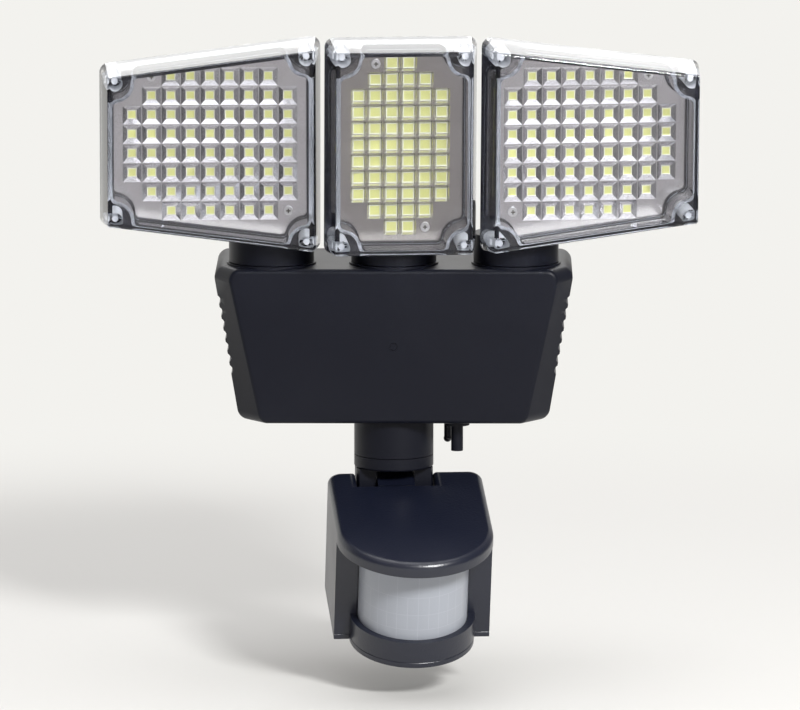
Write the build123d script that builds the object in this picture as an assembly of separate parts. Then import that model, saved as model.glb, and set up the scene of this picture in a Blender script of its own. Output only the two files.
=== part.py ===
from build123d import *
import os
from dataclasses import dataclass
from math import atan, degrees, radians, tan

# Solar floodlight: three lamp heads on a battery housing, with a motion sensor hung below.
# Millimetres. The wall is the plane y = 0, the light faces -Y and +Z is up.
# The origin is the centre of the wall bracket's back face.

# Fits
RUNNING = 0.05  # radial gap of a turning fit
SEATED = 0.1  # gap round a piece that drops into its seat
APART = 0.3  # gap between faces that move past each other

# Wall bracket
BRACKET_WIDTH = 104.0
BRACKET_HEIGHT = 58.0
BRACKET_THICK = 3.0
BRACKET_CORNER = 5.0
WALL_HOLE_RADIUS = 2.3
WALL_HOLE_SPACING = 64.0
HOOK_SPACING = 92.0
HOOK_WIDTH = 12.0
HOOK_THICK = 3.0
HOOK_LIP = 5.0
HOOK_BELOW_TOP = 26.0  # the hook's upper face, below the housing's top
LUG_WIDTH = 22.0
LUG_LENGTH = 20.0
LUG_THICK = 2.5
LOCK_SCREW_FORWARD = 15.0
LOCK_SCREW_RADIUS = 1.75
LOCK_HEAD_RADIUS = 3.5
LOCK_HEAD_HEIGHT = 2.5
LOCK_BOSS_RADIUS = 4.0
LOCK_BOSS_HEIGHT = 8.0

# Battery housing
BODY_STANDOFF = 8.0  # from the wall to the housing's back
BODY_HEIGHT = 65.0
BODY_DEPTH = 64.0
BODY_TOP_WIDTH = 151.0
BODY_BOTTOM_WIDTH = 129.0
BODY_CORNER = 5.0
BODY_WALL = 2.5
PANEL_TOP_WIDTH = 138.0
PANEL_BOTTOM_WIDTH = 110.0
PANEL_ROUND = 2.0
SHOULDER_DEPTH = 12.0  # depth of the slant between the front panel and the sides
COVER_ROUND = 4.0
GROOVE_COUNT = 7
GROOVE_PITCH = 4.9
GROOVE_RADIUS = 2.2
GROOVE_DEPTH = 1.0
GROOVE_LENGTH = 24.0
GROOVE_CENTRE = 3.0  # middle groove, above the housing's middle
DIMPLE_RADIUS = 1.7
DIMPLE_WIDTH = 0.4
SEAL_WIDTH = 1.0
SEAL_INSET = 0.75
POST_RADIUS = 3.5
POST_OVERLAP = 0.8  # how far a screw post sinks into the side wall
POST_LENGTH = 22.0
POST_TOP_INSET = 10.5
POST_BOTTOM_INSET = 8.5
CASE_SCREW_RADIUS = 1.25
CASE_SCREW_GRIP = 12.0
CASE_HEAD_RADIUS = 2.7
CASE_HEAD_HEIGHT = 2.2

# Inside the housing
CELL_RADIUS = 9.2
CELL_LENGTH = 65.2
CELL_SPACING = 19.4
CELL_BUTTON_RADIUS = 2.8
CELL_BUTTON = 1.2
HOLDER_BACK = 1.5
HOLDER_END = 2.0
HOLDER_HEIGHT = 41.0
HOLDER_DEPTH = 9.0
HOLDER_CLEAR = 1.5  # holder above the lock screw's boss
BOARD_WIDTH = 84.0
BOARD_HEIGHT = 40.0
BOARD_THICK = 1.6
BOARD_DROP = 4.0  # the board's middle, below the housing's middle
BOARD_STANDOFF = 8.0
BOARD_POST_RADIUS = 3.0
BOARD_POST_INSET = 5.0
BOARD_SCREW_RADIUS = 1.1
BOARD_SCREW_GRIP = 5.0
BOARD_HEAD_RADIUS = 2.2
BOARD_HEAD_HEIGHT = 1.6
CHOKE_RADIUS = 6.0
CHOKE_HEIGHT = 8.0
CHIP_SIZE = 9.0
CHIP_HEIGHT = 2.0

# Fittings under the housing; setbacks are measured from the front panel
INLET_X = 26.5
INLET_SETBACK = 14.0
INLET_FLANGE_RADIUS = 5.2
INLET_FLANGE = 2.5
INLET_RADIUS = 2.5
INLET_BORE_RADIUS = 1.75
INLET_BORE_DEPTH = 10.0
INLET_LENGTH = 13.4
INLET_STEM_RADIUS = 3.0
INLET_STEM = 5.0
SWITCH_X = 22.5
SWITCH_SETBACK = 30.0
BUSHING_RADIUS = 4.2
BUSHING_DROP = 3.0
BUSHING_STEM_RADIUS = 3.7
BUSHING_RISE = 5.5
LEVER_RADIUS = 1.5
LEVER_TIP_RADIUS = 1.7
LEVER_LENGTH = 12.6
LEVER_BALL_RADIUS = 2.6
LEVER_PIVOT = 1.0  # pivot of the switch lever, above the housing's bottom face
LEVER_SWING = 12.0
THROAT_GAP = 0.45  # round the lever at its pivot

# Turrets
TURRET_SPACING = 51.0
TURRET_SETBACK = 19.0  # turret axis behind the front panel
TURRET_RADIUS = 17.75
TURRET_HEIGHT = 13.0
SEAT_RADIUS = 18.6
SEAT_RISE = 0.8
SEAT_TO_PARTING = 1.4  # from the turrets' seats back to the housing's parting plane
PIVOT_RADIUS = 10.0
PIVOT_BORE_RADIUS = 6.0
RETAINER_RADIUS = 14.0
RETAINER_THICK = 2.5
PIVOT_END = 0.5  # pivot below its retainer
HINGE_RISE = 20.0  # tilt axis above the housing's top
EAR_GAP = 16.0
EAR_THICK = 4.5
EAR_RADIUS = 6.5
HINGE_PIN_RADIUS = 2.5
HINGE_HEAD_RADIUS = 4.5
HINGE_HEAD = 2.0
TONGUE_RADIUS = 6.0

# Lamp heads, measured from the tilt axis
HEAD_CENTRE_RISE = 35.6
HEAD_HEIGHT = 91.0
OUTER_HEIGHT = 67.5
SIDE_INBOARD = 19.6
SIDE_OUTBOARD = 71.4
CENTRE_WIDTH = 63.0
HEAD_CORNER = 4.0
RIM_FORWARD = 29.0  # plane where the lens meets the rear housing
RIM_THICK = 6.0
RIM_TAPER = 20.0
GASKET_SLACK = 0.05  # at each side of the gasket in its groove
RIDGE_INNER = 0.5  # width of the ridge inside the gasket
RIDGE_OUTER = 0.5  # width of the ridge outside it
RIDGE_HEIGHT = 1.2
RIDGE_ROUND = 0.2
LENS_DEPTH = 20.0
LENS_DRAFT = 3.2
LENS_WALL = 2.2
LENS_ROUND = 1.2
RIB_THICK = 1.4
RIB_GAP = 0.6
WINDOW_SIDE = 5.9
WINDOW_EDGE = 5.2
WINDOW_ROUND = 2.0
BOSS_SIDE = 6.2
BOSS_EDGE = 6.0
BOSS_RADIUS = 3.2
NOTCH_RADIUS = 8.5
LENS_SCREW_RADIUS = 1.2
LENS_SCREW_GRIP = 10.0
LENS_HEAD_RADIUS = 2.4
LENS_HEAD_HEIGHT = 1.8
GASKET_THICK = 1.2
GASKET_PROUD = 0.4
POCKET_DEPTH = 4.5
LED_BOARD_THICK = 1.6
LED_HEIGHT = 1.0
REFLECTOR_THICK = 2.4
LAMP_WELL = 0.9  # straight part of a funnel, beside its lamp
TRAY_SIDE = 9.0
TRAY_TOP = 9.0
TRAY_BOTTOM = 12.0
TRAY_BACK = 9.5  # the tray's back face, ahead of the tilt axis
TRAY_WALL = 2.2
TRAY_CORNER = 7.0
TRAY_TAPER = 8.0
TONGUE_FOOT = 14.0  # height of the tongue's root on the tray
REFLECTOR_SCREW_RADIUS = 1.0
REFLECTOR_SCREW_GRIP = 4.5
REFLECTOR_HEAD_RADIUS = 1.9
REFLECTOR_HEAD_HEIGHT = 1.2
REFLECTOR_BOSS_RADIUS = 2.8
REFLECTOR_BOSS = 4.5
CELL_RIDGE = 0.4

# Sensor neck and collar
NECK_SETBACK = 22.0  # neck's axis behind the front panel
NECK_RADIUS = 16.6
NECK_LENGTH = 15.8
NECK_SPIGOT_RADIUS = 15.0
NECK_SPIGOT = 7.0
NECK_BORE_RADIUS = 13.0
NECK_LEDGE = 3.0
NECK_NUT_RADIUS = 18.5
NECK_NUT_THICK = 4.0
COLLAR_HEIGHT = 5.2
COLLAR_ROUND = 1.0
SENSOR_PIVOT_RADIUS = 10.0
SENSOR_RETAINER_RADIUS = 12.5
SENSOR_HINGE_DROP = 8.2  # tilt axis below the collar
SENSOR_EAR_RADIUS = 7.0
SENSOR_EAR_THICK = 8.0

# Motion sensor, measured from its tilt axis
SENSOR_WIDTH = 65.0
SENSOR_LENGTH = 39.2
SENSOR_HEIGHT = 52.0
SENSOR_CORNER = 6.0
SENSOR_WALL = 2.2
SENSOR_REACH = 11.0  # from the tilt axis to the wall of the hinge's notch
SENSOR_OFFSET = 4.2  # the sensor's middle, to the right of its hinge
SHOULDER_REACH = 12.0  # from the notch's wall back to the rear of the two shoulders
ROOF_RISE = 6.4
VISOR_THICK = 6.2
VISOR_ROUND = 3.2
FRESNEL_RADIUS = 22.8
FRESNEL_THICK = 1.2
FRESNEL_TAB = 3.0
LIP_RADIUS = 26.0
LIP_HEIGHT = 9.2
BASE_THICK = 2.4
BASE_SEAM = 0.4  # bevel that shows the seam between housing and base
SENSOR_BOARD_SETBACK = 16.0  # from the sensor's front plane
SENSOR_BOARD_MARGIN = 5.0
PYRO_RADIUS = 4.6
PYRO_LENGTH = 4.5
PYRO_DROP = 22.0
BASE_SCREW_SIDE = 5.5
BASE_SCREW_BACK = 6.0
BASE_SCREW_FRONT = 8.5
BASE_POST_RADIUS = 3.0
BASE_SCREW_RADIUS = 1.2
BASE_SCREW_GRIP = 9.0
BASE_HEAD_RADIUS = 2.4
BASE_HEAD_HEIGHT = 1.4
DIAL_RADIUS = 4.0
DIAL_SPACING = 24.0
DIAL_BACK = 14.0  # from the rear wall to the dials
DIAL_FLANGE_RADIUS = 5.5
DIAL_FLANGE = 1.5
DIAL_PROUD = 1.2
DIAL_SLOT_WIDTH = 1.0
DIAL_SLOT_DEPTH = 0.8

# Where the photographed light stands: turns about +Z and tilts down, in degrees
SENSOR_TURN = 5.9
SENSOR_TILT = 17.9


@dataclass(frozen=True)
class Head:
    """One lamp head: its edges, its lamp grid and the pose it stands in."""

    name: str
    turret_x: float
    left: float
    right: float
    left_height: float
    right_height: float
    turn: float
    tilt: float
    pitch: float
    lamp: tuple
    counts: tuple
    starts: tuple
    columns: int
    order: int

    def height(self, x):
        """Height of the outline at x."""
        share = (x - self.left) / (self.right - self.left)
        return self.left_height + (self.right_height - self.left_height) * share

    def outline(self, side, top, bottom, corner):
        """The head's outline, drawn in by these margins."""
        left, right = self.left + side, self.right - side
        ends = [(left, self.height(left) / 2), (right, self.height(right) / 2)]
        low = [(x, HEAD_CENTRE_RISE - half + bottom) for x, half in ends]
        high = [(x, HEAD_CENTRE_RISE + half - top) for x, half in reversed(ends)]
        face = make_face(Polyline(*low, *high, close=True))
        return fillet(face.vertices(), corner) if corner else face

    def bosses(self):
        """Places of the four screw bosses in the corners."""
        places = []
        for x in (self.left + BOSS_SIDE, self.right - BOSS_SIDE):
            reach = self.height(x) / 2 - BOSS_EDGE
            places += [(x, HEAD_CENTRE_RISE + reach), (x, HEAD_CENTRE_RISE - reach)]
        return places

    def window(self):
        """The window's contour, notched round each corner boss."""
        face = self.outline(WINDOW_SIDE, WINDOW_EDGE, WINDOW_EDGE, 0)
        face -= [Pos(*place) * Circle(NOTCH_RADIUS) for place in self.bosses()]
        return fillet(face.vertices(), WINDOW_ROUND)

    def band(self, start, width):
        """A band of this width that runs round the window, this far outside it."""
        return offset(self.window(), start + width) - offset(self.window(), start)

    def cell(self, column, row):
        """Middle of a cell of the lamp grid."""
        x = (self.left + self.right) / 2
        x += self.order * (column - (self.columns - 1) / 2) * self.pitch
        return x, HEAD_CENTRE_RISE + ((len(self.counts) - 1) / 2 - row) * self.pitch

    def cells(self):
        """Middles of all the cells that hold a lamp."""
        rows = enumerate(zip(self.starts, self.counts))
        return [self.cell(start + n, row) for row, (start, count) in rows for n in range(count)]

    def reflector_screws(self):
        """The two corner cells that hold a screw in place of a lamp."""
        last = len(self.counts) - 1
        return [self.cell(1, 0), self.cell(self.starts[last] + self.counts[last], last)]

    def at_turret(self):
        """Place of the turret's frame: its axis, on the housing's top."""
        return Pos(self.turret_x, -TURRET_FORWARD, BODY_TOP) * Rot(0, 0, self.turn)

    def at_hinge(self):
        """Place of the head's frame: the middle of its tilt axis."""
        return self.at_turret() * Pos(0, 0, HINGE_RISE) * Rot(self.tilt, 0, 0)


SIDE_GRID = dict(
    pitch=8.0,
    lamp=(3.6, 3.6),
    counts=(6, 8, 9, 9, 9, 9, 8, 6),
    starts=(2, 1, 0, 0, 0, 0, 1, 2),
    columns=9,
)
CENTRE_GRID = dict(
    pitch=6.85,
    lamp=(4.8, 4.6),
    counts=(2, 4, 6, 6, 6, 6, 6, 6, 6, 4, 2),
    starts=(2, 1, 0, 0, 0, 0, 0, 0, 0, 1, 2),
    columns=6,
)
HEADS = (
    Head("left", -TURRET_SPACING, -SIDE_OUTBOARD, SIDE_INBOARD, OUTER_HEIGHT, HEAD_HEIGHT,
         turn=2.6, tilt=2.5, order=1, **SIDE_GRID),
    Head("centre", 0.0, -CENTRE_WIDTH / 2, CENTRE_WIDTH / 2, HEAD_HEIGHT, HEAD_HEIGHT,
         turn=5.5, tilt=3.5, order=1, **CENTRE_GRID),
    Head("right", TURRET_SPACING, -SIDE_INBOARD, SIDE_OUTBOARD, HEAD_HEIGHT, OUTER_HEIGHT,
         turn=8.6, tilt=2.7, order=-1, **SIDE_GRID),
)

# Levels and depths that follow from the sizes above; depths are measured forward from the wall
BODY_BOTTOM = LUG_THICK - BRACKET_HEIGHT / 2
BODY_TOP = BODY_BOTTOM + BODY_HEIGHT
BODY_MIDDLE = (BODY_BOTTOM + BODY_TOP) / 2
FRONT = BODY_STANDOFF + BODY_DEPTH
SHOULDER = FRONT - SHOULDER_DEPTH
TURRET_FORWARD = FRONT - TURRET_SETBACK
PARTING = TURRET_FORWARD - SEAT_RADIUS - SEAT_TO_PARTING
INLET_FORWARD = FRONT - INLET_SETBACK
SWITCH_FORWARD = FRONT - SWITCH_SETBACK
NECK_FORWARD = FRONT - NECK_SETBACK
BOARD_FORWARD = FRONT - BODY_WALL - BOARD_STANDOFF - BOARD_THICK
CELL_FORWARD = BODY_STANDOFF + BODY_WALL + HOLDER_BACK + SEATED + CELL_RADIUS
LOCK_BOSS_TOP = BODY_BOTTOM + BODY_WALL + LOCK_BOSS_HEIGHT
HOLDER_BOTTOM = LOCK_BOSS_TOP + HOLDER_CLEAR
CELL_MIDDLE = HOLDER_BOTTOM + HOLDER_HEIGHT / 2
HOOK_TOP = BODY_TOP - HOOK_BELOW_TOP
HOOK_TIP = BODY_STANDOFF + BODY_WALL + APART
RIM_BACK = RIM_FORWARD - RIM_THICK
LED_SEAT = RIM_FORWARD - POCKET_DEPTH
LED_FACE = LED_SEAT + LED_BOARD_THICK
LENS_FRONT = RIM_FORWARD + LENS_DEPTH
GASKET_BACK = RIM_FORWARD + GASKET_PROUD - GASKET_THICK
EAR_OUTSIDE = EAR_GAP / 2 + EAR_THICK
NECK_SEAM = BODY_BOTTOM - NECK_LENGTH
COLLAR_TOP = NECK_SEAM - APART
SENSOR_HINGE = COLLAR_TOP - COLLAR_HEIGHT - SENSOR_HINGE_DROP
SENSOR_FRONT = SENSOR_REACH + SENSOR_LENGTH
SENSOR_REAR = SENSOR_REACH - SHOULDER_REACH
SENSOR_EAR_OUTSIDE = EAR_GAP / 2 + SENSOR_EAR_THICK
SENSOR_NOTCH = 2 * (SENSOR_EAR_OUTSIDE + APART)
SENSOR_BASE = ROOF_RISE - SENSOR_HEIGHT
BASE_TOP = SENSOR_BASE + BASE_THICK
VISOR_RADIUS = SENSOR_WIDTH / 2
SENSOR_INSIDE = ROOF_RISE - SENSOR_WALL

AT_COLLAR = Pos(0, -NECK_FORWARD, 0) * Rot(0, 0, SENSOR_TURN)
AT_SENSOR = AT_COLLAR * Pos(0, 0, SENSOR_HINGE) * Rot(SENSOR_TILT, 0, 0) * Pos(SENSOR_OFFSET, 0, 0)


# Basic solids: a slab and a rod lie along the view, a post stands, an axle lies along x


def slab(face, near, far, taper=0.0):
    """A face drawn in x and z, extruded forward from one depth to another."""
    return extrude(Plane.XZ.offset(near) * face, far - near, taper=taper)


def rod(radius, near, far, x=0.0, z=0.0):
    """A round rod along the view."""
    return slab(Pos(x, z) * Circle(radius), near, far)


def post(radius, low, high, x=0.0, forward=0.0):
    """A round post between two levels."""
    seat = (Align.CENTER, Align.CENTER, Align.MIN)
    return Pos(x, -forward, low) * Cylinder(radius, high - low, align=seat)


def axle(radius, left, right, forward=0.0, z=0.0):
    """A round bar along x."""
    return extrude(Plane.YZ.offset(left) * Pos(-forward, z) * Circle(radius), right - left)


def block(width, near, far, low, high, x=0.0):
    """A box by its width, depths and levels."""
    return Pos(x, -(near + far) / 2, (low + high) / 2) * Box(width, far - near, high - low)


def plan(face, low, high):
    """A face drawn in x and y, extruded up from one level to another."""
    return extrude(Plane.XY.offset(low) * face, high - low)


def screw(x, z, seat, tip, head_radius, head_height, shank_radius):
    """A screw along the view, with its head on the seat and its shank to the tip."""
    ahead = 1 if tip > seat else -1
    head = rod(head_radius, *sorted((seat - ahead * head_height, seat)), x, z)
    return head + rod(shank_radius, *sorted((seat, tip)), x, z)


def group(solids):
    """Separate solids that share one node."""
    return Compound(children=[piece.solid() for piece in solids])


# Battery housing


def trapezoid(top, bottom, inset, corner):
    """The housing's outline between its bottom and its top, drawn in all round."""
    low, high = BODY_BOTTOM + inset, BODY_TOP - inset
    half_top, half_bottom = top / 2 - inset, bottom / 2 - inset
    corners = [(-half_bottom, low), (half_bottom, low), (half_top, high), (-half_top, high)]
    face = make_face(Polyline(*corners, close=True))
    return fillet(face.vertices(), corner)


def side_outline(inset):
    """The outline behind the shoulder."""
    return trapezoid(BODY_TOP_WIDTH, BODY_BOTTOM_WIDTH, inset, BODY_CORNER - inset)


def side_half_width(z):
    """Half the housing's width at a level."""
    share = (z - BODY_BOTTOM) / BODY_HEIGHT
    return (BODY_BOTTOM_WIDTH + (BODY_TOP_WIDTH - BODY_BOTTOM_WIDTH) * share) / 2


def body_form(inset):
    """The front half of the housing as a block, drawn in by a wall."""
    side = side_outline(inset)
    panel = trapezoid(PANEL_TOP_WIDTH, PANEL_BOTTOM_WIDTH, inset, BODY_CORNER - inset)
    slant = [Plane.XZ.offset(SHOULDER) * side, Plane.XZ.offset(FRONT - inset) * panel]
    return slab(side, PARTING, SHOULDER) + loft(slant, ruled=True)


def case_screw_places():
    """Places of the four screws that join the cover to the front shell."""
    places = []
    for z in (BODY_TOP - POST_TOP_INSET, BODY_BOTTOM + POST_BOTTOM_INSET):
        reach = side_half_width(z) - BODY_WALL + POST_OVERLAP - POST_RADIUS
        places += [(-reach, z), (reach, z)]
    return places


def board_screw_places():
    """Places of the control board's four screws."""
    x = BOARD_WIDTH / 2 - BOARD_POST_INSET
    z = BOARD_HEIGHT / 2 - BOARD_POST_INSET
    middle = BODY_MIDDLE - BOARD_DROP
    return [(sx * x, middle + sz * z) for sx in (-1, 1) for sz in (-1, 1)]


def side_grooves():
    """Scooped grooves across both side faces."""
    grooves = []
    for n in range(GROOVE_COUNT):
        z = BODY_MIDDLE + GROOVE_CENTRE + (n - (GROOVE_COUNT - 1) / 2) * GROOVE_PITCH
        x = side_half_width(z) + GROOVE_RADIUS - GROOVE_DEPTH
        near, far = SHOULDER - GROOVE_LENGTH, SHOULDER + SHOULDER_DEPTH / 2
        grooves += [rod(GROOVE_RADIUS, near, far, side * x, z) for side in (-1, 1)]
    return grooves


def front_shell():
    """Front half of the housing, with its turret seats and the holes in its bottom."""
    form = body_form(0)
    shell = fillet(form.faces().sort_by(Axis.Y)[0].edges(), PANEL_ROUND)
    shell = shell - side_grooves() - body_form(BODY_WALL)
    shell += [rod(POST_RADIUS, PARTING, PARTING + POST_LENGTH, x, z) for x, z in case_screw_places()]
    hole_end = PARTING + CASE_SCREW_GRIP + SEATED
    bore = CASE_SCREW_RADIUS + SEATED
    shell -= [rod(bore, PARTING, hole_end, x, z) for x, z in case_screw_places()]
    board_face = BOARD_FORWARD + BOARD_THICK
    inside = FRONT - BODY_WALL
    shell += [rod(BOARD_POST_RADIUS, board_face, inside, x, z) for x, z in board_screw_places()]
    bore, hole_end = BOARD_SCREW_RADIUS + SEATED, board_face + BOARD_SCREW_GRIP + SEATED
    shell -= [rod(bore, board_face, hole_end, x, z) for x, z in board_screw_places()]
    for head in HEADS:
        at = dict(x=head.turret_x, forward=TURRET_FORWARD)
        shell += post(SEAT_RADIUS, BODY_TOP - BODY_WALL, BODY_TOP + SEAT_RISE, **at)
        shell -= post(PIVOT_RADIUS + RUNNING, BODY_TOP - BODY_WALL, BODY_TOP + SEAT_RISE, **at)
    floor = (BODY_BOTTOM, BODY_BOTTOM + BODY_WALL)
    shell -= post(NECK_SPIGOT_RADIUS + SEATED, *floor, forward=NECK_FORWARD)
    shell -= post(INLET_STEM_RADIUS + SEATED, *floor, INLET_X, INLET_FORWARD)
    shell -= post(BUSHING_STEM_RADIUS + SEATED, *floor, SWITCH_X, SWITCH_FORWARD)
    ring = Circle(DIMPLE_RADIUS) - Circle(DIMPLE_RADIUS - DIMPLE_WIDTH)
    return shell - slab(Pos(0, BODY_MIDDLE) * ring, FRONT - DIMPLE_WIDTH, FRONT)


def rear_cover():
    """Rear half of the housing, with slots for the bracket's hooks."""
    form = slab(side_outline(0), BODY_STANDOFF, PARTING)
    cover = fillet(form.faces().sort_by(Axis.Y)[-1].edges(), COVER_ROUND)
    inside = BODY_STANDOFF + BODY_WALL
    cover -= slab(side_outline(BODY_WALL), inside, PARTING)
    cover += [rod(POST_RADIUS, inside, PARTING, x, z) for x, z in case_screw_places()]
    for x, z in case_screw_places():
        cover -= rod(CASE_SCREW_RADIUS + SEATED, BODY_STANDOFF, PARTING, x, z)
        cover -= rod(CASE_HEAD_RADIUS + SEATED, BODY_STANDOFF, inside, x, z)
    groove = side_outline(SEAL_INSET) - side_outline(SEAL_INSET + SEAL_WIDTH)
    cover -= slab(groove, PARTING - SEAL_WIDTH, PARTING)
    slot_low = HOOK_TOP - HOOK_THICK - HOOK_LIP - APART
    for x in (-HOOK_SPACING / 2, HOOK_SPACING / 2):
        cover -= block(HOOK_WIDTH + 2 * APART, BODY_STANDOFF, inside, slot_low, HOOK_TOP, x)
    at = dict(forward=LOCK_SCREW_FORWARD)
    cover += post(LOCK_BOSS_RADIUS, BODY_BOTTOM + BODY_WALL, LOCK_BOSS_TOP, **at)
    return cover - post(LOCK_SCREW_RADIUS + SEATED, BODY_BOTTOM, LOCK_BOSS_TOP, **at)


def housing_seal():
    """Rubber cord seal between the two halves."""
    ring = side_outline(SEAL_INSET) - side_outline(SEAL_INSET + SEAL_WIDTH)
    return slab(ring, PARTING - SEAL_WIDTH, PARTING)


def housing_screws():
    """Four screws through the cover into the front shell."""
    sizes = (CASE_HEAD_RADIUS, CASE_HEAD_HEIGHT, CASE_SCREW_RADIUS)
    seat, tip = BODY_STANDOFF + BODY_WALL, PARTING + CASE_SCREW_GRIP
    return group([screw(x, z, seat, tip, *sizes) for x, z in case_screw_places()])


def wall_bracket():
    """Wall plate with two upturned hooks and a lug for the lock screw."""
    plate = slab(RectangleRounded(BRACKET_WIDTH, BRACKET_HEIGHT, BRACKET_CORNER), 0, BRACKET_THICK)
    for x in (-WALL_HOLE_SPACING / 2, WALL_HOLE_SPACING / 2):
        plate -= rod(WALL_HOLE_RADIUS, 0, BRACKET_THICK, x)
    for x in (-HOOK_SPACING / 2, HOOK_SPACING / 2):
        tip = HOOK_TIP + HOOK_THICK
        plate += block(HOOK_WIDTH, BRACKET_THICK, tip, HOOK_TOP - HOOK_THICK, HOOK_TOP, x)
        plate += block(HOOK_WIDTH, HOOK_TIP, tip, HOOK_TOP - HOOK_THICK, HOOK_TOP + HOOK_LIP, x)
    lug_face = BODY_BOTTOM - LUG_THICK
    lug = block(LUG_WIDTH, BRACKET_THICK, LUG_LENGTH, lug_face, BODY_BOTTOM)
    lug -= post(LOCK_SCREW_RADIUS + SEATED, lug_face, BODY_BOTTOM, forward=LOCK_SCREW_FORWARD)
    return plate + lug


def lock_screw():
    """Screw that locks the housing to the bracket from below."""
    lug_face = BODY_BOTTOM - LUG_THICK
    at = dict(forward=LOCK_SCREW_FORWARD)
    head = post(LOCK_HEAD_RADIUS, lug_face - LOCK_HEAD_HEIGHT, lug_face, **at)
    return head + post(LOCK_SCREW_RADIUS, lug_face, LOCK_BOSS_TOP, **at)


# Inside the housing


def cell_levels():
    """Levels of the two battery cells."""
    return (CELL_MIDDLE - CELL_SPACING / 2, CELL_MIDDLE + CELL_SPACING / 2)


def battery_holder():
    """Cradle that carries the cells on the cover's back wall."""
    seat = BODY_STANDOFF + BODY_WALL
    half = CELL_LENGTH / 2 + CELL_BUTTON + SEATED
    high = HOLDER_BOTTOM + HOLDER_HEIGHT
    holder = block(2 * half + 2 * HOLDER_END, seat, seat + HOLDER_DEPTH, HOLDER_BOTTOM, high)
    for z in cell_levels():
        holder -= axle(CELL_RADIUS + SEATED, -half, half, CELL_FORWARD, z)
    return holder


def battery_cells():
    """Two round cells with raised positive ends."""
    half = CELL_LENGTH / 2
    cells = []
    for z in cell_levels():
        can = axle(CELL_RADIUS, -half, half, CELL_FORWARD, z)
        cells.append(can + axle(CELL_BUTTON_RADIUS, half, half + CELL_BUTTON, CELL_FORWARD, z))
    return group(cells)


def control_board():
    """Charging and lamp control board with a choke and a controller chip."""
    middle = BODY_MIDDLE - BOARD_DROP
    face = Pos(0, middle) * Rectangle(BOARD_WIDTH, BOARD_HEIGHT)
    board = slab(face, BOARD_FORWARD, BOARD_FORWARD + BOARD_THICK)
    bore = BOARD_SCREW_RADIUS + SEATED
    for x, z in board_screw_places():
        board -= rod(bore, BOARD_FORWARD, BOARD_FORWARD + BOARD_THICK, x, z)
    chip = Pos(0, middle) * Rectangle(CHIP_SIZE, CHIP_SIZE)
    board += slab(chip, BOARD_FORWARD - CHIP_HEIGHT, BOARD_FORWARD)
    choke = rod(CHOKE_RADIUS, BOARD_FORWARD - CHOKE_HEIGHT, BOARD_FORWARD, BOARD_WIDTH / 4, middle)
    return board + choke


def board_screws():
    """Four screws that hold the control board to its posts."""
    sizes = (BOARD_HEAD_RADIUS, BOARD_HEAD_HEIGHT, BOARD_SCREW_RADIUS)
    tip = BOARD_FORWARD + BOARD_THICK + BOARD_SCREW_GRIP
    return group([screw(x, z, BOARD_FORWARD, tip, *sizes) for x, z in board_screw_places()])


# Fittings under the housing


def panel_inlet():
    """Sleeve that takes the plug of the solar panel's lead."""
    at = dict(x=INLET_X, forward=INLET_FORWARD)
    tip = BODY_BOTTOM - INLET_LENGTH
    inlet = post(INLET_FLANGE_RADIUS, BODY_BOTTOM - INLET_FLANGE, BODY_BOTTOM, **at)
    inlet += post(INLET_RADIUS, tip, BODY_BOTTOM - INLET_FLANGE, **at)
    inlet += post(INLET_STEM_RADIUS, BODY_BOTTOM, BODY_BOTTOM + INLET_STEM, **at)
    return inlet - post(INLET_BORE_RADIUS, tip, tip + INLET_BORE_DEPTH, **at)


def switch_bushing():
    """Round bushing that carries the mode switch's lever."""
    at = dict(x=SWITCH_X, forward=SWITCH_FORWARD)
    mouth = BODY_BOTTOM - BUSHING_DROP
    bushing = post(BUSHING_RADIUS, mouth, BODY_BOTTOM, **at)
    bushing += post(BUSHING_STEM_RADIUS, BODY_BOTTOM, BODY_BOTTOM + BUSHING_RISE, **at)
    pivot = Pos(SWITCH_X, -SWITCH_FORWARD, BODY_BOTTOM + LEVER_PIVOT)
    bushing -= pivot * Sphere(LEVER_BALL_RADIUS + RUNNING)
    throat = LEVER_RADIUS + THROAT_GAP
    depth = BUSHING_DROP + LEVER_PIVOT
    wide = throat + depth * tan(radians(LEVER_SWING))
    seat = (Align.CENTER, Align.CENTER, Align.MAX)
    return bushing - pivot * Cone(wide, throat, depth, align=seat)


def mode_toggle():
    """Lever of the mode switch, on a ball in its bushing."""
    pivot = BODY_BOTTOM + LEVER_PIVOT
    tip = BODY_BOTTOM - LEVER_LENGTH
    lever = Pos(0, 0, pivot) * Sphere(LEVER_BALL_RADIUS)
    lever += post(LEVER_RADIUS, tip + LEVER_TIP_RADIUS, pivot)
    lever += Pos(0, 0, tip + LEVER_TIP_RADIUS) * Sphere(LEVER_TIP_RADIUS)
    return Pos(SWITCH_X, -SWITCH_FORWARD, 0) * lever


# Turrets


def turret(head):
    """Turning drum with a hollow pivot below and two hinge ears above."""
    foot = SEAT_RISE + APART
    drum = post(TURRET_RADIUS, foot, TURRET_HEIGHT)
    pivot_low = -BODY_WALL - APART - RETAINER_THICK - PIVOT_END
    drum += post(PIVOT_RADIUS, pivot_low, foot)
    for side in (-1, 1):
        x = side * (EAR_GAP + EAR_THICK) / 2
        ear = block(EAR_THICK, -EAR_RADIUS, EAR_RADIUS, TURRET_HEIGHT, HINGE_RISE, x)
        ear += axle(EAR_RADIUS, x - EAR_THICK / 2, x + EAR_THICK / 2, 0, HINGE_RISE)
        drum += ear
    drum -= axle(HINGE_PIN_RADIUS + RUNNING, -EAR_OUTSIDE, EAR_OUTSIDE, 0, HINGE_RISE)
    drum -= post(PIVOT_BORE_RADIUS, pivot_low, TURRET_HEIGHT)
    return head.at_turret() * drum


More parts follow.
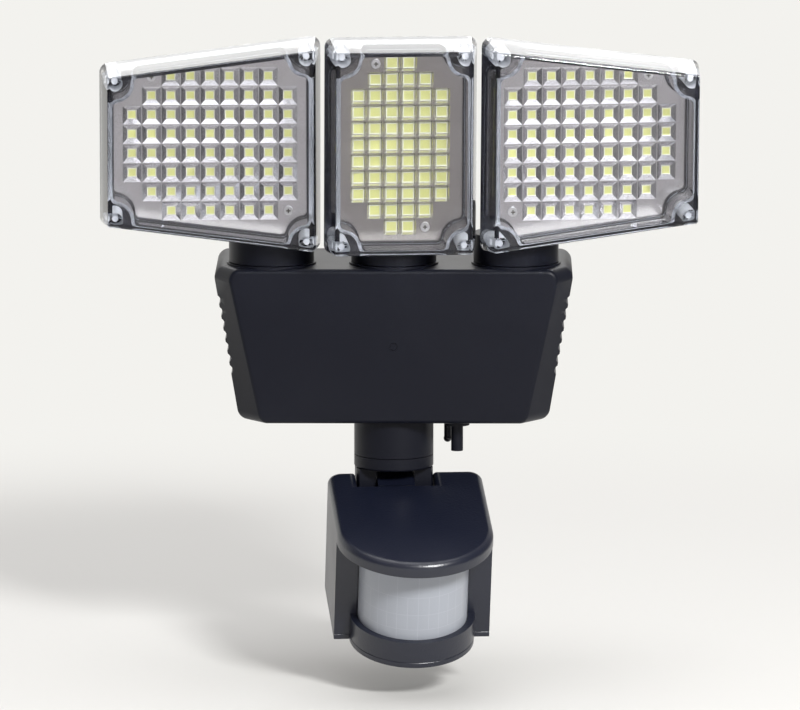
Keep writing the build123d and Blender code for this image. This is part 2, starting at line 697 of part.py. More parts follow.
def pan_retainer(head):
    """Ring under the housing's top that keeps the turret in its seat."""
    high = -BODY_WALL - APART
    ring = post(RETAINER_RADIUS, high - RETAINER_THICK, high)
    ring -= post(PIVOT_RADIUS + RUNNING, high - RETAINER_THICK, high)
    return head.at_turret() * ring


def hinge_pin():
    """Headed pin across two ears, centred on its axis."""
    pin = axle(HINGE_PIN_RADIUS, -EAR_OUTSIDE, EAR_OUTSIDE)
    return pin + axle(HINGE_HEAD_RADIUS, EAR_OUTSIDE, EAR_OUTSIDE + HINGE_HEAD)


def tilt_pin(head):
    """Pin that the head tilts on."""
    return head.at_turret() * Pos(0, 0, HINGE_RISE) * hinge_pin()


# Lamp heads


def tray_root(head):
    """Level of the tray's lower edge at the hinge."""
    return HEAD_CENTRE_RISE - head.height(0) / 2 + TRAY_BOTTOM


def tongue(head):
    """Hinge tongue from the tilt axis to the tray's back."""
    low = tray_root(head)
    root = Pos(-TRAY_BACK, low + TONGUE_FOOT / 2) * Rectangle(TRAY_WALL, TONGUE_FOOT)
    profile = make_hull(Circle(TONGUE_RADIUS).edges() + root.edges())
    half = EAR_GAP / 2 - APART
    body = extrude(Plane.YZ.offset(-half) * profile, 2 * half)
    return body - axle(HINGE_PIN_RADIUS + RUNNING, -half, half)


def gasket_ridges(head):
    """Two rounded ridges that keep the gasket in its place."""
    ridges = []
    outside = RIB_GAP + RIB_THICK + SEATED
    for start, width in ((RIB_GAP - SEATED - RIDGE_INNER, RIDGE_INNER), (outside, RIDGE_OUTER)):
        ridge = slab(head.band(start, width), RIM_FORWARD, RIM_FORWARD + RIDGE_HEIGHT)
        ridges.append(fillet(ridge.faces().sort_by(Axis.Y)[0].edges(), RIDGE_ROUND))
    return ridges


def head_housing(head):
    """Black rear housing: a rim under the lens, a tray behind it and the hinge tongue."""
    rim_face = Plane.XZ.offset(RIM_FORWARD) * head.outline(0, 0, 0, HEAD_CORNER)
    rim = extrude(rim_face, -RIM_THICK, taper=RIM_TAPER)
    tray_face = head.outline(TRAY_SIDE, TRAY_TOP, TRAY_BOTTOM, TRAY_CORNER)
    depth = RIM_BACK - TRAY_BACK
    tray = extrude(Plane.XZ.offset(RIM_BACK) * tray_face, -depth, taper=TRAY_TAPER)
    housing = rim + tray + gasket_ridges(head)
    for x, z in head.reflector_screws():
        housing += rod(REFLECTOR_BOSS_RADIUS, RIM_BACK - REFLECTOR_BOSS, RIM_BACK, x, z)
    housing -= slab(head.window(), LED_SEAT, RIM_FORWARD)
    margins = (margin + TRAY_WALL for margin in (TRAY_SIDE, TRAY_TOP, TRAY_BOTTOM))
    hollow_face = Plane.XZ.offset(LED_SEAT) * head.outline(*margins, TRAY_CORNER - TRAY_WALL)
    housing -= extrude(hollow_face, TRAY_BACK + TRAY_WALL - LED_SEAT, taper=TRAY_TAPER)
    housing -= slab(head.band(RIB_GAP, RIB_THICK), GASKET_BACK, RIM_FORWARD)
    hole = LENS_SCREW_RADIUS + SEATED
    housing -= [rod(hole, RIM_BACK, RIM_FORWARD, x, z) for x, z in head.bosses()]
    hole = REFLECTOR_SCREW_RADIUS + SEATED
    tip = LED_SEAT - REFLECTOR_SCREW_GRIP - SEATED
    housing -= [rod(hole, tip, LED_SEAT, x, z) for x, z in head.reflector_screws()]
    return head.at_hinge() * (housing + tongue(head))


def head_gasket(head):
    """Rubber gasket under the lens's rib."""
    ring = head.band(RIB_GAP + GASKET_SLACK, RIB_THICK - 2 * GASKET_SLACK)
    return head.at_hinge() * slab(ring, GASKET_BACK, GASKET_BACK + GASKET_THICK)


def lens(head):
    """Clear lens: a drafted tub with an inner rib and four screw bosses."""
    taper = degrees(atan(LENS_DRAFT / LENS_DEPTH))
    form = slab(head.outline(0, 0, 0, HEAD_CORNER), RIM_FORWARD, LENS_FRONT, taper)
    form = fillet(form.faces().sort_by(Axis.Y)[0].edges(), LENS_ROUND)
    hollow = head.outline(LENS_WALL, LENS_WALL, LENS_WALL, HEAD_CORNER - LENS_WALL)
    inside = LENS_FRONT - LENS_WALL
    tub = form - slab(hollow, RIM_FORWARD, inside, taper)
    tub += slab(head.band(RIB_GAP, RIB_THICK), GASKET_BACK + GASKET_THICK, inside)
    tub += [rod(BOSS_RADIUS, RIM_FORWARD, inside, x, z) & form for x, z in head.bosses()]
    hole, end = LENS_SCREW_RADIUS + SEATED, RIM_FORWARD + LENS_SCREW_GRIP + SEATED
    tub -= [rod(hole, RIM_FORWARD, end, x, z) for x, z in head.bosses()]
    return head.at_hinge() * tub


def lens_screws(head):
    """Four screws from behind into the lens's bosses."""
    sizes = (LENS_HEAD_RADIUS, LENS_HEAD_HEIGHT, LENS_SCREW_RADIUS)
    tip = RIM_FORWARD + LENS_SCREW_GRIP
    screws = [screw(x, z, RIM_BACK, tip, *sizes) for x, z in head.bosses()]
    return group([head.at_hinge() * piece for piece in screws])


def led_board(head):
    """Lamp board on the ledge of the rear housing."""
    board = slab(offset(head.window(), -SEATED), LED_SEAT, LED_FACE)
    hole = REFLECTOR_SCREW_RADIUS + SEATED
    board -= [rod(hole, LED_SEAT, LED_FACE, x, z) for x, z in head.reflector_screws()]
    return head.at_hinge() * board


def leds(head):
    """All the lamps of one head."""
    face = Rectangle(*head.lamp)
    lamps = [slab(Pos(*place) * face, LED_FACE, LED_FACE + LED_HEIGHT) for place in head.cells()]
    return group([head.at_hinge() * lamp for lamp in lamps])


def reflector(head):
    """Silvered reflector with a square funnel round each lamp."""
    front = LED_FACE + REFLECTOR_THICK
    plate = slab(offset(head.window(), -SEATED), LED_FACE, front)
    small = Rectangle(*(side + 2 * SEATED for side in head.lamp))
    mouth = Rectangle(head.pitch - CELL_RIDGE, head.pitch - CELL_RIDGE)
    throat = LED_FACE + LAMP_WELL
    funnel = loft([Plane.XZ.offset(throat) * small, Plane.XZ.offset(front) * mouth])
    funnel += slab(small, LED_FACE, throat)
    plate -= [Pos(x, 0, z) * funnel for x, z in head.cells()]
    hole = REFLECTOR_SCREW_RADIUS + SEATED
    plate -= [rod(hole, LED_FACE, front, x, z) for x, z in head.reflector_screws()]
    return head.at_hinge() * plate


def reflector_screws(head):
    """Two screws through the reflector and the lamp board."""
    sizes = (REFLECTOR_HEAD_RADIUS, REFLECTOR_HEAD_HEIGHT, REFLECTOR_SCREW_RADIUS)
    seat, tip = LED_FACE + REFLECTOR_THICK, LED_SEAT - REFLECTOR_SCREW_GRIP
    screws = [screw(x, z, seat, tip, *sizes) for x, z in head.reflector_screws()]
    return group([head.at_hinge() * piece for piece in screws])


# Sensor neck and collar


def sensor_neck():
    """Fixed neck under the housing, with a ledge that the collar's pivot turns in."""
    at = dict(forward=NECK_FORWARD)
    neck = post(NECK_RADIUS, NECK_SEAM, BODY_BOTTOM, **at)
    neck += post(NECK_SPIGOT_RADIUS, BODY_BOTTOM, BODY_BOTTOM + NECK_SPIGOT, **at)
    neck -= post(NECK_BORE_RADIUS, NECK_SEAM + NECK_LEDGE, BODY_BOTTOM + NECK_SPIGOT, **at)
    return neck - post(SENSOR_PIVOT_RADIUS + RUNNING, NECK_SEAM, NECK_SEAM + NECK_LEDGE, **at)


def neck_nut():
    """Ring nut that holds the neck to the housing's floor."""
    floor = BODY_BOTTOM + BODY_WALL
    at = dict(low=floor, high=floor + NECK_NUT_THICK, forward=NECK_FORWARD)
    return post(NECK_NUT_RADIUS, **at) - post(NECK_SPIGOT_RADIUS + SEATED, **at)


def sensor_collar():
    """Turning collar with a hollow pivot above and two hinge ears below."""
    low = COLLAR_TOP - COLLAR_HEIGHT
    collar = post(NECK_RADIUS, low, COLLAR_TOP)
    collar = fillet(collar.faces().sort_by(Axis.Z)[0].edges(), COLLAR_ROUND)
    pivot_top = NECK_SEAM + NECK_LEDGE + APART + RETAINER_THICK + PIVOT_END
    collar += post(SENSOR_PIVOT_RADIUS, COLLAR_TOP, pivot_top)
    for side in (-1, 1):
        ends = sorted((side * EAR_GAP / 2, side * SENSOR_EAR_OUTSIDE))
        ear = block(SENSOR_EAR_THICK, -SENSOR_EAR_RADIUS, SENSOR_EAR_RADIUS, SENSOR_HINGE, low, sum(ends) / 2)
        ear += axle(SENSOR_EAR_RADIUS, *ends, 0, SENSOR_HINGE)
        collar += ear & post(NECK_RADIUS, SENSOR_HINGE - SENSOR_EAR_RADIUS, low)
    collar -= axle(HINGE_PIN_RADIUS + RUNNING, -EAR_OUTSIDE, EAR_OUTSIDE, 0, SENSOR_HINGE)
    collar -= axle(HINGE_HEAD_RADIUS + SEATED, EAR_OUTSIDE, SENSOR_EAR_OUTSIDE, 0, SENSOR_HINGE)
    collar -= post(PIVOT_BORE_RADIUS, low, pivot_top)
    return AT_COLLAR * collar


def sensor_retainer():
    """Ring inside the neck that carries the collar."""
    low = NECK_SEAM + NECK_LEDGE + APART
    ring = post(SENSOR_RETAINER_RADIUS, low, low + RETAINER_THICK)
    return AT_COLLAR * (ring - post(SENSOR_PIVOT_RADIUS + RUNNING, low, low + RETAINER_THICK))


def sensor_tilt_pin():
    """Pin that the sensor tilts on."""
    return AT_COLLAR * Pos(0, 0, SENSOR_HINGE) * hinge_pin()


# Motion sensor


def sensor_plan(inset, nose_radius):
    """Plan of the sensor: a box with a notch for its hinge and, if asked for, a round nose."""
    half, back, front = SENSOR_WIDTH / 2 - inset, SENSOR_REAR + inset, SENSOR_FRONT - inset
    face = Pos(0, -(back + front) / 2) * Rectangle(2 * half, front - back)
    rear = face.vertices().sort_by(Axis.Y)[-2:]
    face = fillet(rear, SENSOR_CORNER - inset)
    notch = Rectangle(SENSOR_NOTCH + 2 * inset, 2 * SHOULDER_REACH + 2 * inset)
    face -= Pos(-SENSOR_OFFSET, -SENSOR_REAR) * notch
    if nose_radius:
        nose = Pos(0, -SENSOR_FRONT) * Circle(nose_radius)
        face += nose & Pos(0, -SENSOR_FRONT - nose_radius / 2) * Rectangle(2 * nose_radius, nose_radius)
    return face


def base_screw_places():
    """Places of the four screws in the sensor's base, as x and forward."""
    x = SENSOR_WIDTH / 2 - BASE_SCREW_SIDE
    depths = (SENSOR_REAR + BASE_SCREW_BACK, SENSOR_FRONT - BASE_SCREW_FRONT)
    return [(side * x, depth) for side in (-1, 1) for depth in depths]


def sensor_housing():
    """Black sensor housing with a round visor, two front pillars, a lower lip and a tongue."""
    eaves = ROOF_RISE - VISOR_THICK
    visor = plan(sensor_plan(0, VISOR_RADIUS), eaves, ROOF_RISE)
    visor = fillet(visor.faces().sort_by(Axis.Z)[-1].edges(), VISOR_ROUND)
    visor -= plan(sensor_plan(SENSOR_WALL, VISOR_RADIUS - SENSOR_WALL), eaves, SENSOR_INSIDE)
    low_part = plan(sensor_plan(0, 0), BASE_TOP, eaves)
    low_part += plan(sensor_plan(0, LIP_RADIUS), BASE_TOP, BASE_TOP + LIP_HEIGHT)
    low_part -= plan(sensor_plan(SENSOR_WALL, 0), BASE_TOP, eaves)
    housing = visor + low_part
    housing -= post(FRESNEL_RADIUS + APART, BASE_TOP, SENSOR_INSIDE, forward=SENSOR_FRONT)
    for x, depth in base_screw_places():
        housing += post(BASE_POST_RADIUS, BASE_TOP, SENSOR_INSIDE, x, depth)
        housing -= post(BASE_SCREW_RADIUS + SEATED, BASE_TOP, BASE_TOP + BASE_SCREW_GRIP + SEATED, x, depth)
    board = SENSOR_FRONT - SENSOR_BOARD_SETBACK
    half = SENSOR_WIDTH / 2 - SENSOR_WALL
    for side in (-1, 1):
        rib = block(FRESNEL_TAB, board - BOARD_THICK, board + 2 * BOARD_THICK, BASE_TOP, SENSOR_INSIDE,
                    side * (half - FRESNEL_TAB / 2))
        housing += rib - sensor_board_block()
    half = EAR_GAP / 2 - APART
    root = Pos(-SENSOR_REACH - SENSOR_WALL / 2, 0) * Rectangle(SENSOR_WALL, 2 * TONGUE_RADIUS)
    profile = make_hull(Circle(TONGUE_RADIUS).edges() + root.edges())
    tongue = extrude(Plane.YZ.offset(-half) * profile, 2 * half)
    housing += Pos(-SENSOR_OFFSET, 0, 0) * tongue
    bore = axle(HINGE_PIN_RADIUS + RUNNING, -half, half)
    return AT_SENSOR * (housing - Pos(-SENSOR_OFFSET, 0, 0) * bore)


def sensor_board_block():
    """Room that the sensor's board takes between its ribs."""
    board = SENSOR_FRONT - SENSOR_BOARD_SETBACK
    width = SENSOR_WIDTH - 2 * SENSOR_WALL
    return block(width, board, board + BOARD_THICK, BASE_TOP, SENSOR_INSIDE)


def sensor_base():
    """Base plate that closes the sensor from below, with holes for the two dials."""
    base = plan(sensor_plan(0, LIP_RADIUS), SENSOR_BASE, BASE_TOP)
    base = chamfer(base.faces().sort_by(Axis.Z)[-1].edges(), BASE_SEAM)
    for x, depth in base_screw_places():
        base -= post(BASE_SCREW_RADIUS + SEATED, SENSOR_BASE, BASE_TOP, x, depth)
        base -= post(BASE_HEAD_RADIUS + SEATED, SENSOR_BASE, SENSOR_BASE + BASE_HEAD_HEIGHT, x, depth)
    for x in (-DIAL_SPACING / 2, DIAL_SPACING / 2):
        base -= post(DIAL_RADIUS + RUNNING, SENSOR_BASE, BASE_TOP, x, SENSOR_REACH + DIAL_BACK)
    return AT_SENSOR * base


def sensor_screws():
    """Four screws up through the base into the housing's posts."""
    screws = []
    for x, depth in base_screw_places():
        seat = SENSOR_BASE + BASE_HEAD_HEIGHT
        piece = post(BASE_HEAD_RADIUS, SENSOR_BASE, seat, x, depth)
        piece += post(BASE_SCREW_RADIUS, seat, BASE_TOP + BASE_SCREW_GRIP, x, depth)
        screws.append(AT_SENSOR * piece)
    return group(screws)


def fresnel_lens():
    """Milky half-round lens with a tab behind each pillar."""
    inner = FRESNEL_RADIUS - FRESNEL_THICK
    back = SENSOR_FRONT - SENSOR_WALL - SEATED
    front_half = Pos(0, -FRESNEL_RADIUS / 2) * Rectangle(2 * FRESNEL_RADIUS, FRESNEL_RADIUS)
    bow = Pos(0, -SENSOR_FRONT) * ((Circle(FRESNEL_RADIUS) - Circle(inner)) & front_half)
    for side in (-1, 1):
        leg = Pos(side * (FRESNEL_RADIUS - FRESNEL_THICK / 2), -(back - FRESNEL_THICK + SENSOR_FRONT) / 2)
        bow += leg * Rectangle(FRESNEL_THICK, SENSOR_FRONT - back + FRESNEL_THICK)
        tab = Pos(side * (inner + FRESNEL_TAB / 2), -(back - FRESNEL_THICK / 2))
        bow += tab * Rectangle(FRESNEL_TAB, FRESNEL_THICK)
    return AT_SENSOR * plan(bow, BASE_TOP, SENSOR_INSIDE)


def sensor_board():
    """Sensor board standing between ribs behind the lens."""
    board = SENSOR_FRONT - SENSOR_BOARD_SETBACK
    width = SENSOR_WIDTH - 2 * SENSOR_WALL - 2 * SEATED
    top = SENSOR_INSIDE - SENSOR_BOARD_MARGIN
    return AT_SENSOR * block(width, board + SEATED, board + BOARD_THICK - SEATED, BASE_TOP, top)


def pyro_sensor():
    """Round metal can of the heat sensor."""
    face = SENSOR_FRONT - SENSOR_BOARD_SETBACK + BOARD_THICK - SEATED
    return AT_SENSOR * rod(PYRO_RADIUS, face, face + PYRO_LENGTH, 0, ROOF_RISE - PYRO_DROP)


def dial(x):
    """Slotted adjusting dial in the sensor's base."""
    at = dict(x=x, forward=SENSOR_REACH + DIAL_BACK)
    face = SENSOR_BASE - DIAL_PROUD
    knob = post(DIAL_RADIUS, face, BASE_TOP + RUNNING, **at)
    knob += post(DIAL_FLANGE_RADIUS, BASE_TOP + RUNNING, BASE_TOP + RUNNING + DIAL_FLANGE, **at)
    forward = at["forward"]
    slot = block(2 * DIAL_RADIUS, forward - DIAL_SLOT_WIDTH / 2, forward + DIAL_SLOT_WIDTH / 2,
                 face, face + DIAL_SLOT_DEPTH, x)
    return AT_SENSOR * (knob - slot)


NODES = {
    "front_shell": front_shell(),
    "rear_cover": rear_cover(),
    "housing_seal": housing_seal(),
    "housing_screws": housing_screws(),
    "wall_bracket": wall_bracket(),
    "lock_screw": lock_screw(),
    "battery_holder": battery_holder(),
    "battery_cells": battery_cells(),
    "control_board": control_board(),
    "board_screws": board_screws(),
    "panel_inlet": panel_inlet(),
    "switch_bushing": switch_bushing(),
    "mode_toggle": mode_toggle(),
    "sensor_neck": sensor_neck(),
    "neck_nut": neck_nut(),
    "sensor_collar": sensor_collar(),
    "sensor_retainer": sensor_retainer(),
    "sensor_tilt_pin": sensor_tilt_pin(),
    "sensor_housing": sensor_housing(),
    "sensor_base": sensor_base(),
    "sensor_screws": sensor_screws(),
    "fresnel_lens": fresnel_lens(),
    "sensor_board": sensor_board(),
    "pyro_sensor": pyro_sensor(),
    "time_dial": dial(-DIAL_SPACING / 2),
    "range_dial": dial(DIAL_SPACING / 2),
}
for lamp_head in HEADS:
    NODES |= {
        f"{lamp_head.name}_turret": turret(lamp_head),
        f"{lamp_head.name}_pan_retainer": pan_retainer(lamp_head),
        f"{lamp_head.name}_tilt_pin": tilt_pin(lamp_head),
        f"{lamp_head.name}_head_housing": head_housing(lamp_head),
        f"{lamp_head.name}_head_gasket": head_gasket(lamp_head),
        f"{lamp_head.name}_lens": lens(lamp_head),
        f"{lamp_head.name}_lens_screws": lens_screws(lamp_head),
        f"{lamp_head.name}_led_board": led_board(lamp_head),
        f"{lamp_head.name}_leds": leds(lamp_head),
        f"{lamp_head.name}_reflector": reflector(lamp_head),
        f"{lamp_head.name}_reflector_screws": reflector_screws(lamp_head),
    }

os.makedirs("parts", exist_ok=True)
for node, shape in NODES.items():
    export_step(shape, f"parts/{node}.step")
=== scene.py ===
"""Dresses the solar floodlight: clear lamp heads, a black battery housing and a motion sensor."""

import logging
import math
from collections.abc import Callable
from dataclasses import dataclass
from enum import Enum

import bpy
from mathutils import Matrix, Vector

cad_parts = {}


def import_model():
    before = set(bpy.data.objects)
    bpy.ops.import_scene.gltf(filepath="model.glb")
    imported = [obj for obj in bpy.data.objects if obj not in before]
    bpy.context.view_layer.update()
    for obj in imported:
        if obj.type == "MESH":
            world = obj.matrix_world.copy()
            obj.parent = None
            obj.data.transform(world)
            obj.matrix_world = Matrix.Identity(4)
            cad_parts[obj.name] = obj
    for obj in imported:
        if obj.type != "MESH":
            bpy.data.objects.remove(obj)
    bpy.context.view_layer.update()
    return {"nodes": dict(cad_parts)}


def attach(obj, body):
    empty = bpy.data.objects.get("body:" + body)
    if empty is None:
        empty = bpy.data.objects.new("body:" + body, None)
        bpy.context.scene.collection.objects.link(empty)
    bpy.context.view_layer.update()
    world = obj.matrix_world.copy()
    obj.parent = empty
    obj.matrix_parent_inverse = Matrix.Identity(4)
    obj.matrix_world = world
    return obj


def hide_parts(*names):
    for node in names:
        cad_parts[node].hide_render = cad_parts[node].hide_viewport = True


LOG = logging.getLogger("floodlight")
MM = 0.001
# How near points are joined, levels are alike, and a point is on a plane
WELD = 0.004 * MM
NEAR = 0.01 * MM
TOUCH = 0.001 * MM

Colour = tuple[float, float, float]
Place = tuple[float, float, float]
Span = tuple[float, float]
Piece = bpy.types.Object
Material = bpy.types.Material
Socket = bpy.types.NodeSocket
Nodes = dict[str, Piece]


# Modelling helpers


class Side(Enum):
    """The three lamp heads, by where a person facing the light sees them."""

    LEFT = "left"
    CENTRE = "centre"
    RIGHT = "right"


@dataclass(frozen=True)
class Pose:
    """Where a turned and tilted sub-assembly stands.

    Attributes:
        origin: The middle of its tilt axis, in metres.
        turn: Its turn about the upright axis, in degrees.
        tilt: How far it looks down, in degrees.
    """

    origin: Place
    turn: float
    tilt: float

    def matrix(self) -> Matrix:
        """The pose as a matrix from local to row coordinates."""
        turn = Matrix.Rotation(math.radians(self.turn), 4, "Z")
        tilt = Matrix.Rotation(math.radians(self.tilt), 4, "X")
        return Matrix.Translation(self.origin) @ turn @ tilt


def deselect() -> None:
    """Leaves edit mode and clears the selection."""
    if bpy.context.mode != "OBJECT":
        bpy.ops.object.mode_set(mode="OBJECT")
    bpy.ops.object.select_all(action="DESELECT")


def activate(piece: Piece) -> Piece:
    """Makes one object the only selected and active one.

    Args:
        piece: The object to work on.

    Returns:
        The same object.
    """
    deselect()
    piece.select_set(True)
    bpy.context.view_layer.objects.active = piece
    return piece


def select(piece: Piece, kind: str, test: Callable[..., bool]) -> None:
    """Enters edit mode with only some of a piece's elements selected.

    Args:
        piece: The piece to edit.
        kind: The kind of elements: VERT, EDGE or FACE.
        test: Tells whether an element is selected.
    """
    activate(piece)
    bpy.ops.object.mode_set(mode="EDIT")
    bpy.ops.mesh.select_mode(type=kind)
    bpy.ops.mesh.select_all(action="DESELECT")
    bpy.ops.object.mode_set(mode="OBJECT")
    mesh = piece.data
    for element in {"VERT": mesh.vertices, "EDGE": mesh.edges, "FACE": mesh.polygons}[kind]:
        element.select = test(element)
    bpy.ops.object.mode_set(mode="EDIT")


def seat(piece: Piece, matrix: Matrix) -> Piece:
    """Moves a finished piece to its place and writes that place into its mesh.

    Args:
        piece: The piece, modelled round its own origin.
        matrix: The place it goes to.

    Returns:
        The same piece, at the origin again.
    """
    activate(piece)
    piece.matrix_world = matrix @ piece.matrix_world
    bpy.ops.object.transform_apply(location=True, rotation=True, scale=True)
    return piece


def smooth(piece: Piece, angle: float = 32.0) -> Piece:
    """Shades a piece smooth, up to an angle between its faces.

    Args:
        piece: The piece to shade.
        angle: The sharpest angle that is still smooth, in degrees.

    Returns:
        The same piece.
    """
    activate(piece)
    bpy.ops.object.shade_smooth_by_angle(angle=math.radians(angle))
    return piece


def apply_modifiers(piece: Piece) -> None:
    """Applies all of a piece's modifiers in order."""
    activate(piece)
    for modifier in list(piece.modifiers):
        bpy.ops.object.modifier_apply(modifier=modifier.name)


def paint(piece: Piece, *materials: Material) -> Piece:
    """Gives a piece its materials, in slot order.

    Args:
        piece: The piece to paint.
        materials: One material per slot.

    Returns:
        The same piece.
    """
    piece.data.materials.clear()
    for material in materials:
        piece.data.materials.append(material)
    return piece


def hand_in(piece: Piece, body: str, slot: str, *nodes: str) -> Piece:
    """Rides a piece on its body, and hides the nodes that it replaces.

    Args:
        piece: The finished piece.
        body: The body that it moves with.
        slot: Not used.
        nodes: The nodes that it replaces.

    Returns:
        The same piece.
    """
    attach(piece, body)
    if nodes:
        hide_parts(*nodes)
    LOG.info("%s rides on %s", piece.name, body)
    return piece


def smooth_copy(node: Piece, name: str) -> Piece:
    """Copies a node's mesh into a new piece with its loose faces joined and its curves shaded smooth.

    Args:
        node: The node to copy.
        name: The new piece's name.

    Returns:
        The new piece, which rides on nothing yet.
    """
    activate(node)
    bpy.ops.object.duplicate()
    piece = bpy.context.view_layer.objects.active
    piece.name = name
    piece.parent = None
    for key in list(piece.keys()):
        del piece[key]
    bpy.ops.object.mode_set(mode="EDIT")
    bpy.ops.mesh.select_all(action="SELECT")
    bpy.ops.mesh.remove_doubles(threshold=WELD)
    bpy.ops.mesh.customdata_custom_splitnormals_clear()
    bpy.ops.object.mode_set(mode="OBJECT")
    return smooth(piece)


def dress(nodes: Nodes, node: str, name: str, body: str, slot: str, finish: Material) -> Piece:
    """Replaces a node with a smooth copy of it in one finish.

    Args:
        nodes: The frame's nodes by name.
        node: The node to replace.
        name: The new piece's name.
        body: The body that it moves with.
        slot: A material slot's name, handed on to hand_in.
        finish: Its finish.

    Returns:
        The new piece.
    """
    return hand_in(paint(smooth_copy(nodes[node], name), finish), body, slot, node)


@dataclass(frozen=True)
class CrossRecess:
    """The cross in a screw's head, in millimetres.

    Attributes:
        length: Length of each arm pair.
        width: Width of an arm.
        depth: Depth below the head's face.
        FACING, SPACING: How squarely a head's face looks its way, and how far apart screws are.
        TAPER: Share of an arm's length that is left at its bottom.
        SKIN, DEEP, REACH: Least depth and greatest shares of depth and length inside the cross.
    """

    FACING = 0.995
    SPACING = 9.0
    TAPER = 0.6
    SKIN = 0.02
    DEEP = 1.05
    REACH = 0.52

    length: float
    width: float
    depth: float

    def cut(self, node: Piece, name: str, way: Vector, finishes: tuple[Material, ...]) -> Piece:
        """Copies a node of screws and sinks a cross into every head.

        Args:
            node: The screws' node.
            name: The new piece's name.
            way: The direction that the heads face.
            finishes: The finish of the screws and the darker colour painted inside the crosses as shade.

        Returns:
            The new piece.
        """
        piece = smooth_copy(node, name)
        heads = self.heads(piece, way)
        paint(piece, *finishes)
        turn = way.to_track_quat("Z", "Y").to_matrix().to_4x4()
        for quarter in (0.0, 90.0):
            spin = Matrix.Rotation(math.radians(quarter), 4, "Z")
            bars = self._bars([Matrix.Translation(head) @ turn @ spin for head in heads])
            cutting = piece.modifiers.new("cross", "BOOLEAN")
            cutting.operation = "DIFFERENCE"
            cutting.object = bars
            apply_modifiers(piece)
            bpy.data.objects.remove(bars)
        # Faces inside each cross take the second finish, a dark colour painted as shade in the recess.
        for face in piece.data.polygons:
            offset = min((face.center - head for head in heads), key=lambda gap: gap.length)
            face.material_index = int(self._inside(offset, way))
        LOG.info("%s has %d crosses", name, len(heads))
        return smooth(piece)

    def _inside(self, offset: Vector, way: Vector) -> bool:
        """Tells whether a face lies inside a cross.

        Args:
            offset: From the head's middle to the middle of the face.
            way: The direction that the head faces.

        Returns:
            True for a face of the recess.
        """
        sunk = -offset.dot(way) / MM
        aside = (offset + way * sunk * MM).length / MM
        return self.SKIN < sunk < self.DEEP * self.depth and aside < self.REACH * self.length

    @classmethod
    def heads(cls, piece: Piece, way: Vector) -> list[Vector]:
        """Finds the middle of every screw head.

        Args:
            piece: The screws.
            way: The direction that the heads face.

        Returns:
            The middle of each head's face.
        """
        rims: list[list[Vector]] = []
        for face in piece.data.polygons:
            if face.normal.dot(way) < cls.FACING:
                continue
            corners = [piece.data.vertices[index].co for index in face.vertices]
            near = next((rim for rim in rims if (rim[0] - corners[0]).length < cls.SPACING * MM), None)
            if near is None:
                rims.append(list(corners))
            else:
                near.extend(corners)
        middles = []
        for rim in rims:
            spans = [(min(axis), max(axis)) for axis in zip(*rim)]
            middles.append(Vector([(low + high) / 2 for low, high in spans]))
        return middles

    def _bars(self, places: list[Matrix]) -> Piece:
        """Makes one tapered bar at every place.

        Args:
            places: Where the bars go.

        Returns:
            All the bars as one object.
        """
        bars = []
        for place in places:
            deselect()
            bpy.ops.mesh.primitive_cube_add(size=1.0)
            bar = bpy.context.active_object
            bar.scale = (self.length * MM, self.width * MM, 2.0 * self.depth * MM)
            bpy.ops.object.transform_apply(location=False, rotation=False, scale=True)
            for corner in bar.data.vertices:
                if corner.co.z < 0.0:
                    corner.co.x *= self.TAPER
            bars.append(seat(bar, place))
        return join(bars)


def join(pieces: list[Piece]) -> Piece:
    """Joins pieces into the first of them.

    Args:
        pieces: The pieces to join.

    Returns:
        The joined piece.
    """
    activate(pieces[0])
    for piece in pieces:
        piece.select_set(True)
    if len(pieces) > 1:
        bpy.ops.object.join()
    return bpy.context.view_layer.objects.active


# Finishes


